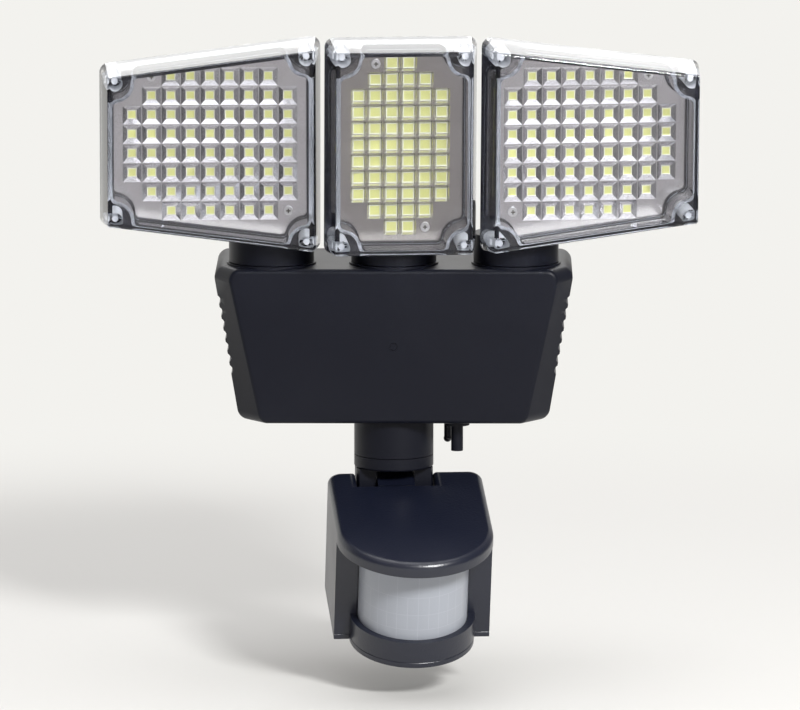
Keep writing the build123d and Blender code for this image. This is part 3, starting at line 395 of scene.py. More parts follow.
class Shader:
    """A material's or a group's node tree, built one node at a time."""

    def __init__(self, tree: bpy.types.NodeTree) -> None:
        """Starts from an empty tree.

        Args:
            tree: The tree to fill.
        """
        self.tree = tree
        self.tree.nodes.clear()

    @classmethod
    def material(cls, name: str) -> tuple["Shader", Material]:
        """Makes a new material.

        Args:
            name: The material's name.

        Returns:
            The tree's builder and the material.
        """
        material = bpy.data.materials.new(name)
        material.use_nodes = True
        return cls(material.node_tree), material

    def add(self, kind: str, **inputs: object) -> bpy.types.Node:
        """Adds a node and sets or links its inputs.

        Args:
            kind: The node's type, without its prefix.
            inputs: Values or sockets by input name, with _ for a space.

        Returns:
            The new node.
        """
        node = self.tree.nodes.new("ShaderNode" + kind)
        for name, value in inputs.items():
            self.feed(node.inputs[name.replace("_", " ")], value)
        return node

    def feed(self, socket: Socket, value: object) -> None:
        """Links an input to a socket, or sets its constant.

        Args:
            socket: The input.
            value: The socket or the constant.
        """
        if isinstance(value, Socket):
            self.tree.links.new(value, socket)
        else:
            socket.default_value = value

    def blend(self, factor: object, first: object, second: object) -> Socket:
        """Mixes two colours.

        Args:
            factor: Share of the second colour.
            first: A colour or a socket.
            second: A colour or a socket.

        Returns:
            The mixed colour's socket.
        """
        node = self.tree.nodes.new("ShaderNodeMix")
        node.data_type = "RGBA"
        for index, value in ((0, factor), (6, first), (7, second)):
            self.feed(node.inputs[index], value)
        return node.outputs[2]

    def span(self, value: Socket, low: float, high: float) -> Socket:
        """Maps a value from 0 to 1 onto a new span.

        Args:
            value: The socket to map.
            low: The result at 0.
            high: The result at 1.

        Returns:
            The mapped value's socket.
        """
        return self.add("MapRange", Value=value, To_Min=low, To_Max=high).outputs["Result"]

    def ramp(self, value: Socket, start: float, end: float) -> Socket:
        """Maps a value onto 0 at one end of a stretch and 1 at the other.

        Args:
            value: The socket to map.
            start: The value that gives 0.
            end: The value that gives 1.

        Returns:
            The mapped value's socket.
        """
        node = self.add("MapRange", Value=value, From_Min=start, From_Max=end)
        node.interpolation_type = "SMOOTHSTEP"
        return node.outputs["Result"]

    def calculate(self, operation: str, *values: object) -> Socket:
        """Does a sum on values.

        Args:
            operation: The Math node's operation.
            values: Numbers or sockets, in order.

        Returns:
            The result's socket.
        """
        node = self.add("Math")
        node.operation = operation
        for index, value in enumerate(values):
            self.feed(node.inputs[index], value)
        return node.outputs[0]

    def mix(self, factor: Socket, first: bpy.types.Node, second: bpy.types.Node) -> bpy.types.Node:
        """Mixes two shaders.

        Args:
            factor: Share of the second shader.
            first: A shader.
            second: A shader.

        Returns:
            The mixed shader.
        """
        mixed = self.add("MixShader", Fac=factor)
        for index, shader in enumerate((first, second), 1):
            self.feed(mixed.inputs[index], shader.outputs[0])
        return mixed

    def coordinates(self) -> Socket:
        """Object coordinates."""
        return self.add("TexCoord").outputs["Object"]

    def finish(self, shader: bpy.types.Node) -> None:
        """Links a shader to the material's surface."""
        self.add("OutputMaterial", Surface=shader.outputs[0])


def rgba(colour: Colour) -> tuple[float, float, float, float]:
    """A colour with full alpha."""
    return (*colour, 1.0)


class Effects:
    """Shader groups that more than one finish uses."""

    GRAIN = "moulding grain"
    HANDLING = "handling marks"

    @classmethod
    def build(cls) -> None:
        """Builds every group once."""
        cls._grain()
        cls._handling()

    @staticmethod
    def _open(
        name: str, inputs: dict[str, float], outputs: tuple[str, ...]
    ) -> tuple[Shader, bpy.types.Node]:
        """Starts a group.

        Args:
            name: The group's name.
            inputs: Default value of each input.
            outputs: Names of the outputs.

        Returns:
            The group's builder and its input node.
        """
        group = bpy.data.node_groups.new(name, "ShaderNodeTree")
        group.interface.new_socket("Vector", in_out="INPUT", socket_type="NodeSocketVector")
        for key, value in inputs.items():
            socket = group.interface.new_socket(key, in_out="INPUT", socket_type="NodeSocketFloat")
            socket.default_value = value
        for key in outputs:
            group.interface.new_socket(key, in_out="OUTPUT", socket_type="NodeSocketFloat")
        shader = Shader(group)
        return shader, group.nodes.new("NodeGroupInput")

    @classmethod
    def _grain(cls) -> None:
        """Spark-eroded grain: a fine pebble height and a soft change of gloss."""
        shader, given = cls._open(cls.GRAIN, {"Scale": 900.0, "Patch": 40.0}, ("Height", "Gloss"))
        vector, scale = given.outputs["Vector"], given.outputs["Scale"]
        fine = shader.add("TexNoise", Vector=vector, Scale=scale, Detail=3.0, Roughness=0.6)
        pebble = shader.add("TexVoronoi", Vector=vector, Scale=scale)
        height = shader.calculate("MULTIPLY", fine.outputs["Fac"], pebble.outputs["Distance"])
        patch = shader.add("TexNoise", Vector=vector, Scale=given.outputs["Patch"], Detail=4.0)
        output = shader.tree.nodes.new("NodeGroupOutput")
        shader.feed(output.inputs["Height"], height)
        shader.feed(output.inputs["Gloss"], patch.outputs["Fac"])

    @classmethod
    def _handling(cls) -> None:
        """Faint smudges from handling."""
        shader, given = cls._open(cls.HANDLING, {"Smudge": 18.0}, ("Smudges",))
        vector, scale = given.outputs["Vector"], given.outputs["Smudge"]
        smudge = shader.add("TexNoise", Vector=vector, Scale=scale, Detail=6.0, Distortion=0.6)
        output = shader.tree.nodes.new("NodeGroupOutput")
        shader.feed(output.inputs["Smudges"], shader.ramp(smudge.outputs["Fac"], 0.45, 0.75))

    @staticmethod
    def use(shader: Shader, name: str, **inputs: object) -> bpy.types.Node:
        """Places a group in a material.

        Args:
            shader: The material's builder.
            name: The group's name.
            inputs: Values or sockets by input name.

        Returns:
            The group's node.
        """
        node = shader.tree.nodes.new("ShaderNodeGroup")
        node.node_tree = bpy.data.node_groups[name]
        for key, value in inputs.items():
            shader.feed(node.inputs[key], value)
        return node


@dataclass(frozen=True)
class Finish:
    """An opaque finish with a fine grain.

    Attributes:
        name: The material's name.
        colour: Its colour.
        second: Its colour where it is rubbed, dull, pale or cloudy.
        gloss: Lowest and highest roughness.
        grain: Grains across a metre.
        relief: Depth of the grain, in metres.
        specular: Strength of its reflection.
        PATCH: Patches of gloss across a metre.
        BUMP: Strength of the grain's relief.
        GLOW: Strength of a painted glow in its own colour.
        HANDLED: Whether the second colour comes from handling.
        INPUTS: Other inputs of the surface.
    """

    PATCH = 35.0
    BUMP = 0.6
    GLOW = 0.0
    HANDLED = False
    INPUTS = {}

    name: str
    colour: Colour
    second: Colour
    gloss: Span
    grain: float
    relief: float
    specular: float = 0.5

    def build(self) -> Material:
        """Makes the material."""
        shader, material = Shader.material(self.name)
        place = shader.coordinates()
        grain = Effects.use(shader, Effects.GRAIN, Vector=place, Scale=self.grain, Patch=self.PATCH)
        share = grain.outputs["Gloss"]
        low, high = self.gloss
        rough = shader.span(share, low, high) if low < high else low
        if self.HANDLED:
            marks = Effects.use(shader, Effects.HANDLING, Vector=place)
            share = shader.span(marks.outputs["Smudges"], 0.0, 0.5)
        tone = shader.blend(share, rgba(self.colour), rgba(self.second))
        surface = shader.add("BsdfPrincipled", Base_Color=tone, Roughness=rough, **self.INPUTS)
        shader.feed(surface.inputs["Specular IOR Level"], self.specular)
        if self.relief > 0.0:
            height = grain.outputs["Height"]
            bump = shader.add("Bump", Height=height, Strength=self.BUMP, Distance=self.relief)
            shader.feed(surface.inputs["Normal"], bump.outputs[0])
        # A painted glow in the surface's own colour, standing in for light falling on it.
        if self.GLOW > 0.0:
            shader.feed(surface.inputs["Emission Color"], tone)
            shader.feed(surface.inputs["Emission Strength"], self.GLOW)
        shader.finish(surface)
        return material


class Moulding(Finish):
    """A moulded opaque plastic or rubber."""

    HANDLED = True


class BrightMetal(Finish):
    """A plated, coated or brushed metal."""

    PATCH = 60.0
    BUMP = 0.5
    INPUTS = {"Metallic": 1.0}


class Phosphor(Finish):
    """Cream phosphor under clear resin, with a faint painted glow that stands in for light falling on it.
    """

    PATCH = 160.0
    GLOW = 0.1
    INPUTS = {"Coat_Weight": 0.4, "Coat_Roughness": 0.08}


class MilkySheet(Finish):
    """A translucent milky sheet."""

    PATCH = 70.0
    BUMP = 0.3
    INPUTS = {"Subsurface_Weight": 0.35, "Subsurface_Radius": (0.002, 0.002, 0.002)}


@dataclass(frozen=True)
class ClearMoulding:
    """A clear moulding that lets lamp light and shadow rays through.

    Attributes:
        name: The material's name.
        tint: Its colour.
        ior: Its index of refraction.
        gloss: Lowest and highest roughness.
        clarity: Share of the light that passes through it.
    """

    name: str
    tint: Colour
    ior: float
    gloss: Span = (0.015, 0.05)
    clarity: float = 1.0

    def build(self) -> Material:
        """Makes the material."""
        shader, material = Shader.material(self.name)
        marks = Effects.use(shader, Effects.HANDLING, Vector=shader.coordinates(), Smudge=25.0)
        rough = shader.span(marks.outputs["Smudges"], *self.gloss)
        glass = shader.add("BsdfPrincipled", Base_Color=rgba(self.tint), Roughness=rough, IOR=self.ior)
        shader.feed(glass.inputs["Transmission Weight"], self.clarity)
        clear = shader.add("BsdfTransparent", Color=rgba(self.tint))
        dark = shader.add("LightPath").outputs["Is Shadow Ray"]
        shader.finish(shader.mix(dark, glass, clear))
        return material


class Palette:
    """Every finish of the light, built once."""

    def __init__(self) -> None:
        """Builds the groups and the materials."""
        Effects.build()
        black, worn = (0.005, 0.0058, 0.011), (0.008, 0.009, 0.015)
        self.housing = Moulding("black housing", black, worn, (0.34, 0.46), 1500.0, 0.00003, 0.2).build()
        self.smooth_black = Moulding("smooth black", black, worn, (0.2, 0.3), 2500.0, 0.00001, 0.45).build()
        self.dark_steel = Moulding("black steel", black, worn, (0.3, 0.42), 2200.0, 0.00002, 0.4).build()
        slate, worn = (0.007, 0.009, 0.02), (0.009, 0.0115, 0.023)
        self.grained = Moulding("grained black", slate, worn, (0.26, 0.34), 900.0, 0.00012, 0.7).build()
        slate, worn = (0.012, 0.013, 0.018), (0.016, 0.017, 0.022)
        self.rubber = Moulding("black rubber", slate, worn, (0.45, 0.6), 1800.0, 0.00004, 0.4).build()
        # The gasket ridges behind the lens are painted pale as highlight lines.
        pale, worn = (0.25, 0.26, 0.29), (0.2, 0.21, 0.24)
        self.rubber_painted_highlight = Moulding("rubber painted highlight", pale, worn, (0.25, 0.4), 1800.0, 0.00002, 0.5).build()
        self.clear = ClearMoulding("clear lens", (0.945, 0.95, 0.955), 1.49).build()
        # The lens bosses are painted a cloudy pale grey, as highlight.
        self.frosted_painted_highlight = ClearMoulding("frosted boss painted highlight", (0.62, 0.64, 0.68), 1.49, (0.3, 0.4), 0.35).build()
        bright, soft = (0.88, 0.87, 0.9), (0.8, 0.79, 0.83)
        self.mirror = BrightMetal("silver reflector", bright, soft, (0.12, 0.24), 700.0, 0.00006).build()
        # A darker copy of the silver, painted as shade on the centre reflector's flats and walls other than
        # the lower walls.
        bright, soft = (0.58, 0.56, 0.56), (0.5, 0.48, 0.48)
        dim = BrightMetal("silver reflector painted shade", bright, soft, (0.12, 0.24), 700.0, 0.00006)
        self.mirror_painted_shade = dim.build()
        bright, soft = (0.62, 0.62, 0.63), (0.45, 0.45, 0.47)
        self.steel = BrightMetal("plated steel", bright, soft, (0.25, 0.42), 2200.0, 0.00003).build()
        # Screw recesses are painted a dark steel as shade inside the crosses.
        shade, soft = (0.12, 0.11, 0.1), (0.08, 0.075, 0.07)
        recess = BrightMetal("screw recess painted shade", shade, soft, (0.45, 0.6), 2200.0, 0.00003).build()
        self.screw = (self.steel, recess)
        cream, pale = (0.285, 0.295, 0.09), (0.33, 0.335, 0.135)
        self.phosphor = Phosphor("lamp phosphor", cream, pale, (0.35, 0.35), 3000.0, 0.0).build()
        cream, stained = (0.4, 0.4, 0.33), (0.37, 0.37, 0.3)
        self.package = Moulding("lamp package", cream, stained, (0.3, 0.4), 3000.0, 0.00001, 0.5).build()
        milk, cloud = (0.37, 0.39, 0.43), (0.34, 0.36, 0.4)
        self.milky = MilkySheet("milky lens", milk, cloud, (0.32, 0.32), 1500.0, 0.00004).build()
        # The lens's seams are painted paler than its cells, as highlight lines.
        milk, cloud = (0.43, 0.45, 0.49), (0.39, 0.41, 0.45)
        self.milky_seam_painted_highlight = MilkySheet("milky lens seam painted highlight", milk, cloud, (0.32, 0.32), 1500.0, 0.00004).build()
        white, grey = (0.7, 0.7, 0.68), (0.62, 0.62, 0.6)
        self.white_board = Moulding("white board", white, grey, (0.4, 0.5), 2000.0, 0.00002, 0.5).build()
        green, pale = (0.02, 0.1, 0.04), (0.03, 0.13, 0.05)
        self.green_board = Moulding("green board", green, pale, (0.3, 0.45), 2000.0, 0.00002, 0.5).build()
        blue, faded = (0.03, 0.1, 0.2), (0.04, 0.12, 0.22)
        self.wrap = Moulding("cell wrap", blue, faded, (0.2, 0.3), 1500.0, 0.00002, 0.5).build()


# Studio


@dataclass(frozen=True)
class SoftLamp:
    """A rectangular soft lamp.

    Attributes:
        name: The lamp's name.
        place: Where it hangs, in metres.
        size: Its width and height, in metres.
        power: Its power, in watts.
    """

    name: str
    place: Place
    size: Span
    power: float

    def hang(self, aim: Place) -> None:
        """Adds the lamp to the scene.

        Args:
            aim: The point that it shines at.
        """
        deselect()
        bpy.ops.object.light_add(type="AREA", location=self.place)
        lamp = bpy.context.active_object
        lamp.name = self.name
        lamp.data.energy = self.power
        lamp.data.shape = "RECTANGLE"
        lamp.data.size, lamp.data.size_y = self.size
        lamp.rotation_euler = (Vector(self.place) - Vector(aim)).to_track_quat("Z", "Y").to_euler()


@dataclass(frozen=True)
class Studio:
    """Camera, floor and soft light.

    Attributes:
        azimuth: Camera's turn round the light, in degrees.
        elevation: Camera's height angle, in degrees.
        distance: From the camera to the aim, in metres.
        scale: Pixels to the metre at the aim.
        aim: Point that the camera's axis passes through.
        aim_pixel: Where that point lies in the picture.
        picture: Width and height of the picture, in pixels.
        film: Width of the camera's sensor, in millimetres.
        floor: Level of the floor.
        floor_radius: Radius of the floor.
        floor_fade: Shares of that radius between which the floor turns into the backdrop.
        floor_glow: Least and greatest share of the backdrop in the floor.
        floor_colour: Colour of the floor where the light's shadow falls.
        backdrop: Colour of the background.
        front_wall: Colour of the room that the light faces.
        side_wall: Colour of the room beside the light.
        ceiling: Colour of the room above the light.
        side_turn: Sideways part of a direction, from front wall to side wall.
        ceiling_turn: Upward part of a direction, from wall to ceiling.
        sweep_back, sweep_top, sweep_right: Parts of a direction, from the room to the sweep behind.
        lamps: The soft lamps.
    """

    azimuth: float = 0.46
    elevation: float = 9.18
    distance: float = 3.587
    scale: float = 2400.0
    aim: Place = (0.0, -0.06, 0.02)
    aim_pixel: Span = (393.6, 309.3)
    picture: tuple[int, int] = (800, 710)
    film: float = 36.0
    floor: float = -0.1365
    floor_radius: float = 0.6
    floor_fade: Span = (0.5, 0.97)
    floor_glow: Span = (0.05, 1.0)
    floor_colour: Colour = (0.66, 0.654, 0.631)
    backdrop: Colour = (0.896, 0.888, 0.857)
    front_wall: Colour = (0.39, 0.37, 0.37)
    side_wall: Colour = (0.2, 0.195, 0.2)
    ceiling: Colour = (2.2, 2.2, 2.24)
    side_turn: Span = (0.3, 0.8)
    ceiling_turn: Span = (0.83, 0.96)
    sweep_back: Span = (0.0, 0.4)
    sweep_top: Span = (0.66, 0.52)
    sweep_right: Span = (0.65, 0.2)
    lamps: tuple[SoftLamp, ...] = (
        SoftLamp("overhead", (-0.45, -0.15, 1.4), (0.7, 0.7), 0.8),
        SoftLamp("rear strip", (0.0, 1.35, 0.97), (1.2, 0.5), 6.8),
        SoftLamp("right key", (0.62, -1.3, 0.75), (0.28, 0.28), 27.0),
        SoftLamp("left fill", (-0.9, -0.9, 1.1), (0.7, 0.7), 0.8),
    )

    def build(self) -> None:
        """Sets the whole studio up."""
        self._camera()
        self._floor()
        self._world()
        for lamp in self.lamps:
            lamp.hang(self.aim)
        bpy.context.scene.view_settings.view_transform = "Standard"

    def _camera(self) -> None:
        """Puts the camera at the photograph's viewing angle."""
        turn, rise = math.radians(self.azimuth), math.radians(self.elevation)
        right = Vector((math.cos(turn), math.sin(turn), 0.0))
        ahead = Vector((-math.sin(turn), math.cos(turn), 0.0))
        forward = ahead * math.cos(rise) - Vector((0.0, 0.0, math.sin(rise)))
        up = right.cross(forward)
        across = (self.picture[0] / 2 - self.aim_pixel[0]) / self.scale
        down = (self.picture[1] / 2 - self.aim_pixel[1]) / self.scale
        place = Vector(self.aim) + right * across - up * down - forward * self.distance
        deselect()
        bpy.ops.object.camera_add(location=place)
        camera = bpy.context.active_object
        camera.name = "camera"
        camera.rotation_euler = (-forward).to_track_quat("Z", "Y").to_euler()
        camera.data.sensor_fit = "HORIZONTAL"
        camera.data.sensor_width = self.film
        camera.data.lens = self.film * self.scale * self.distance / self.picture[0]
        camera.data.clip_end = 50.0
        bpy.context.scene.camera = camera

    def _floor(self) -> None:
        """Lays a pale round floor that keeps the light's soft shadow and fades into the backdrop."""
        deselect()
        bpy.ops.mesh.primitive_circle_add(
            vertices=96, radius=self.floor_radius, fill_type="NGON", location=(0.0, 0.0, self.floor)
        )
        floor = bpy.context.active_object
        floor.name = "floor"
        shader, material = Shader.material("pale floor")
        matt = shader.add("BsdfPrincipled", Base_Color=rgba(self.floor_colour), Roughness=0.9)
        glow = shader.add("Emission", Color=rgba(self.backdrop), Strength=1.0)
        reach = shader.add("VectorMath")
        reach.operation = "LENGTH"
        shader.feed(reach.inputs[0], shader.coordinates())
        fade = [share * self.floor_radius for share in self.floor_fade]
        share = shader.span(shader.ramp(reach.outputs["Value"], *fade), *self.floor_glow)
        seen = shader.add("LightPath").outputs["Is Camera Ray"]
        shader.finish(shader.mix(shader.calculate("MULTIPLY", seen, share), matt, glow))
        paint(floor, material)

    def _world(self) -> None:
        """A pale sweep behind the light, a dim room before and beside it, and a bright ceiling."""
        world = bpy.data.worlds.new("studio")
        bpy.context.scene.world = world
        world.use_nodes = True
        shader = Shader(world.node_tree)
        way = shader.add("SeparateXYZ", Vector=shader.add("TexCoord").outputs["Generated"])
        aside = shader.calculate("ABSOLUTE", way.outputs["X"])
        up, back = way.outputs["Z"], way.outputs["Y"]
        side, top = shader.ramp(aside, *self.side_turn), shader.ramp(up, *self.ceiling_turn)
        walls = shader.blend(side, rgba(self.front_wall), rgba(self.side_wall))
        room = shader.blend(top, walls, rgba(self.ceiling))
        sweep = shader.ramp(back, *self.sweep_back)
        for part, turn in ((up, self.sweep_top), (way.outputs["X"], self.sweep_right)):
            sweep = shader.calculate("MULTIPLY", sweep, shader.ramp(part, *turn))
        tone = shader.blend(sweep, room, rgba(self.backdrop))
        seen = shader.add("LightPath").outputs["Is Camera Ray"]
        light = shader.add("Background", Color=shader.blend(seen, tone, rgba(self.backdrop)), Strength=1.0)
        shader.add("OutputWorld", Surface=light.outputs[0])


# Lamp heads


@dataclass(frozen=True)
class LampGrid:
    """The grid of lamps in one head, in millimetres.

    Attributes:
        pitch: From lamp to lamp.
        lamp: Width and height of a lamp.
        counts: Lamps in each row, from the top.
        starts: First column of each row.
        columns: Columns of the whole grid.
    """

    pitch: float
    lamp: Span
    counts: tuple[int, ...]
    starts: tuple[int, ...]
    columns: int


SIDE_GRID = LampGrid(8.0, (3.6, 3.6), (6, 8, 9, 9, 9, 9, 8, 6), (2, 1, 0, 0, 0, 0, 1, 2), 9)
CENTRE_GRID = LampGrid(
    6.85, (4.8, 4.6), (2, 4, 6, 6, 6, 6, 6, 6, 6, 4, 2), (2, 1, 0, 0, 0, 0, 0, 0, 0, 1, 2), 6
)


@dataclass(frozen=True)
class LampHead:
    """One lamp head, with sizes in millimetres from its tilt axis.

    Attributes:
        nodes: The frame's nodes by name.
        palette: The light's finishes.
        side: Which head it is.
        pose: Where it stands.
        middle: Middle of its lamp grid along its width.
        order: 1 if its columns run to the right, -1 to the left.
        grid: Its lamps.
        rise: Middle of its lamp grid above the axis.
        lamp_face: From the axis forward to the lamp board's face.
        lamp_height: Height of a lamp.
        lamp_rim: Width of a lamp's rim, as a share of its width.
        lamp_pool: Depth of its phosphor below that rim.
        ridge: Depth of the gasket's ridges that touch the lens.
        front_wall: A little more than the thickness of the lens's front wall.
        boss: A little more than the radius of the lens's bosses.
        lower_wall: Least upward part of the normal of a funnel's lower wall.
        small_cross: Cross of the reflector's screws.
        large_cross: Cross of the lens's screws.
        FRONT: Least forward part of the normal of a face that looks forward.
    """

    FRONT = 0.9

    nodes: Nodes
    palette: Palette
    side: Side
    pose: Pose
    middle: float
    order: int
    grid: LampGrid
    rise: float = 35.6
    lamp_face: float = 26.1
    lamp_height: float = 1.0
    lamp_rim: float = 0.1
    lamp_pool: float = 0.15
    ridge: float = 0.05
    front_wall: float = 3.0
    boss: float = 3.4
    lower_wall: float = 0.3
    small_cross: CrossRecess = CrossRecess(2.3, 0.55, 0.55)
    large_cross: CrossRecess = CrossRecess(2.8, 0.6, 0.7)

    @property
    def name(self) -> str:
        """The head's name in node and body names."""
        return self.side.value

    def cell(self, column: int, row: int) -> Span:
        """Middle of a cell of the lamp grid.

        Args:
            column: The cell's column.
            row: The cell's row, from the top.

        Returns:
            The cell's place along the head's width and height.
        """
        grid = self.grid
        x = self.middle + self.order * (column - (grid.columns - 1) / 2) * grid.pitch
        return x, self.rise + ((len(grid.counts) - 1) / 2 - row) * grid.pitch

    def lamps(self) -> Piece:
        """Models one lamp package with its phosphor pool and copies it to every cell.

        Returns:
            All the lamps as one piece.
        """
        width, height = (size * MM for size in self.grid.lamp)
        deselect()
        bpy.ops.mesh.primitive_cube_add(size=1.0)
        first = bpy.context.active_object
        first.scale = (width, self.lamp_height * MM, height)
        bpy.ops.object.transform_apply(location=False, rotation=False, scale=True)
        select(first, "FACE", lambda face: face.normal.y < -self.FRONT)
        bpy.ops.mesh.inset(thickness=self.lamp_rim * width)
        bpy.ops.transform.translate(value=(0.0, self.lamp_pool * MM, 0.0))
        bpy.ops.object.mode_set(mode="OBJECT")
        paint(first, self.palette.package, self.palette.phosphor)
        for face in first.data.polygons:
            face.material_index = 1 if face.select else 0
        copies = []
        depth = -(self.lamp_face + self.lamp_height / 2) * MM
        for row, (start, count) in enumerate(zip(self.grid.starts, self.grid.counts)):
            for column in range(start, start + count):
                x, z = self.cell(column, row)
                copy = bpy.data.objects.new("lamp", first.data.copy())
                bpy.context.scene.collection.objects.link(copy)
                copy.location = (x * MM, depth, z * MM)
                copies.append(copy)
        bpy.data.objects.remove(first)
        piece = join(copies)
        bpy.ops.object.transform_apply(location=True, rotation=True, scale=True)
        piece.name = f"{self.name}_lamps"
        return seat(piece, self.pose.matrix())

    def gasket(self) -> Piece:
        """Copies the gasket and paints the faces of its ridges that touch the lens pale, as painted
        highlight lines.

        Returns:
            The new gasket.
        """
        piece = smooth_copy(self.nodes[f"{self.name}_head_gasket"], f"{self.name}_seal")
        paint(piece, self.palette.rubber, self.palette.rubber_painted_highlight)
        local = self.pose.matrix().inverted()
        depths = [(local @ face.center).y for face in piece.data.polygons]
        # Faces at the front of the gasket, on its ridges, take the pale painted highlight.
        for face, depth in zip(piece.data.polygons, depths):
            face.material_index = int(depth < min(depths) + self.ridge * MM)
        return piece

    def mirror(self) -> Piece:
        """Copies the reflector; in the centre head every face but the lower walls of its funnels takes the
        silver painted darker, as painted shade.

        Returns:
            The new reflector.
        """
        piece = smooth_copy(self.nodes[f"{self.name}_reflector"], f"{self.name}_mirror")
        bright = self.palette.mirror
        # In the centre head all faces but the lower walls are painted darker as shade.
        paint(piece, self.palette.mirror_painted_shade if self.side is Side.CENTRE else bright, bright)
        local = self.pose.matrix().to_3x3().inverted()
        for face in piece.data.polygons:
            face.material_index = int((local @ face.normal).z > self.lower_wall)
        return piece

    def clear_lens(self, back: Vector) -> Piece:
        """Copies the lens and gives its screw bosses a rough, cloudy finish painted pale grey as highlight.

        Args:
            back: The direction that the heads of its screws face.

        Returns:
            The new lens.
        """
        piece = smooth_copy(self.nodes[f"{self.name}_lens"], f"{self.name}_clear_lens")
        paint(piece, self.palette.clear, self.palette.frosted_painted_highlight)
        local = self.pose.matrix().inverted()
        axes = [local @ head for head in CrossRecess.heads(self.nodes[f"{self.name}_lens_screws"], back)]
        centres = [local @ face.center for face in piece.data.polygons]
        inside = min(centre.y for centre in centres) + self.front_wall * MM
        # Boss faces behind the front wall take the pale grey painted as highlight.
        for face, centre in zip(piece.data.polygons, centres):
            aside = min(math.hypot(centre.x - axis.x, centre.z - axis.z) for axis in axes)
            face.material_index = int(aside < self.boss * MM and centre.y > inside)
        return piece

    def build(self) -> None:
        """Dresses the head."""
        name, nodes, palette = self.name, self.nodes, self.palette
        body = f"{name}_head"
        front = self.pose.matrix().to_3x3() @ Vector((0.0, -1.0, 0.0))
        hand_in(self.lamps(), body, "lamp_phosphor", f"{name}_leds")
        hand_in(self.clear_lens(-front), body, "clear_lens", f"{name}_lens")
        hand_in(self.mirror(), body, "silver_reflector", f"{name}_reflector")
        hand_in(self.gasket(), body, "black_rubber", f"{name}_head_gasket")
        shells = (
            ("head_housing", "rear_shell", body, palette.smooth_black),
            ("turret", "drum", f"{name}_swivel", palette.housing),
        )
        for part, new, carrier, finish in shells:
            dress(nodes, f"{name}_{part}", f"{name}_{new}", carrier, "black_housing", finish)
        screws = ((self.small_cross, "reflector_screws", front), (self.large_cross, "lens_screws", -front))
        for cross, part, way in screws:
            piece = cross.cut(nodes[f"{name}_{part}"], f"{name}_{part}_crossed", way, palette.screw)
            hand_in(piece, body, "screw_steel", f"{name}_{part}")
        paint(nodes[f"{name}_led_board"], palette.white_board)
        paint(nodes[f"{name}_tilt_pin"], palette.dark_steel)
        paint(nodes[f"{name}_pan_retainer"], palette.housing)


# Battery housing


@dataclass(frozen=True)
class BatteryHousing:
    """The trapezoid housing, its wall bracket and what it holds.

    Attributes:
        nodes: The frame's nodes by name.
        palette: The light's finishes.
        body: The body that it is.
        cross: Cross of its screws.
        shells: New name of each black moulding by the node that it replaces.
        screws: The direction that each group of screws faces.
    """

    nodes: Nodes
    palette: Palette
    body: str = "battery_housing"
    cross: CrossRecess = CrossRecess(3.2, 0.7, 0.9)
    shells: tuple[tuple[str, str], ...] = (
        ("front_shell", "front_case"),
        ("rear_cover", "rear_case"),
        ("sensor_neck", "neck"),
        ("panel_inlet", "lead_sleeve"),
        ("switch_bushing", "switch_collar"),
    )
    screws: tuple[tuple[str, Place], ...] = (
        ("housing_screws", (0.0, 1.0, 0.0)),
        ("lock_screw", (0.0, 0.0, -1.0)),
    )

    def build(self) -> None:
        """Dresses the housing."""
        nodes, palette = self.nodes, self.palette
        for node, name in self.shells:
            dress(nodes, node, name, self.body, "black_housing", palette.housing)
        dress(nodes, "mode_toggle", "switch_lever", "mode_lever", "black_housing", palette.smooth_black)
        dress(nodes, "wall_bracket", "wall_plate", self.body, "bracket_steel", palette.smooth_black)
        for node, way in self.screws:
            piece = self.cross.cut(nodes[node], f"{node}_crossed", Vector(way), palette.screw)
            hand_in(piece, self.body, "screw_steel", node)
        paint(nodes["board_screws"], palette.steel)
        paint(nodes["housing_seal"], palette.rubber)
        paint(nodes["battery_cells"], palette.wrap)
        paint(nodes["control_board"], palette.green_board)
        for node in ("battery_holder", "neck_nut"):
            paint(nodes[node], palette.smooth_black)


# Motion sensor


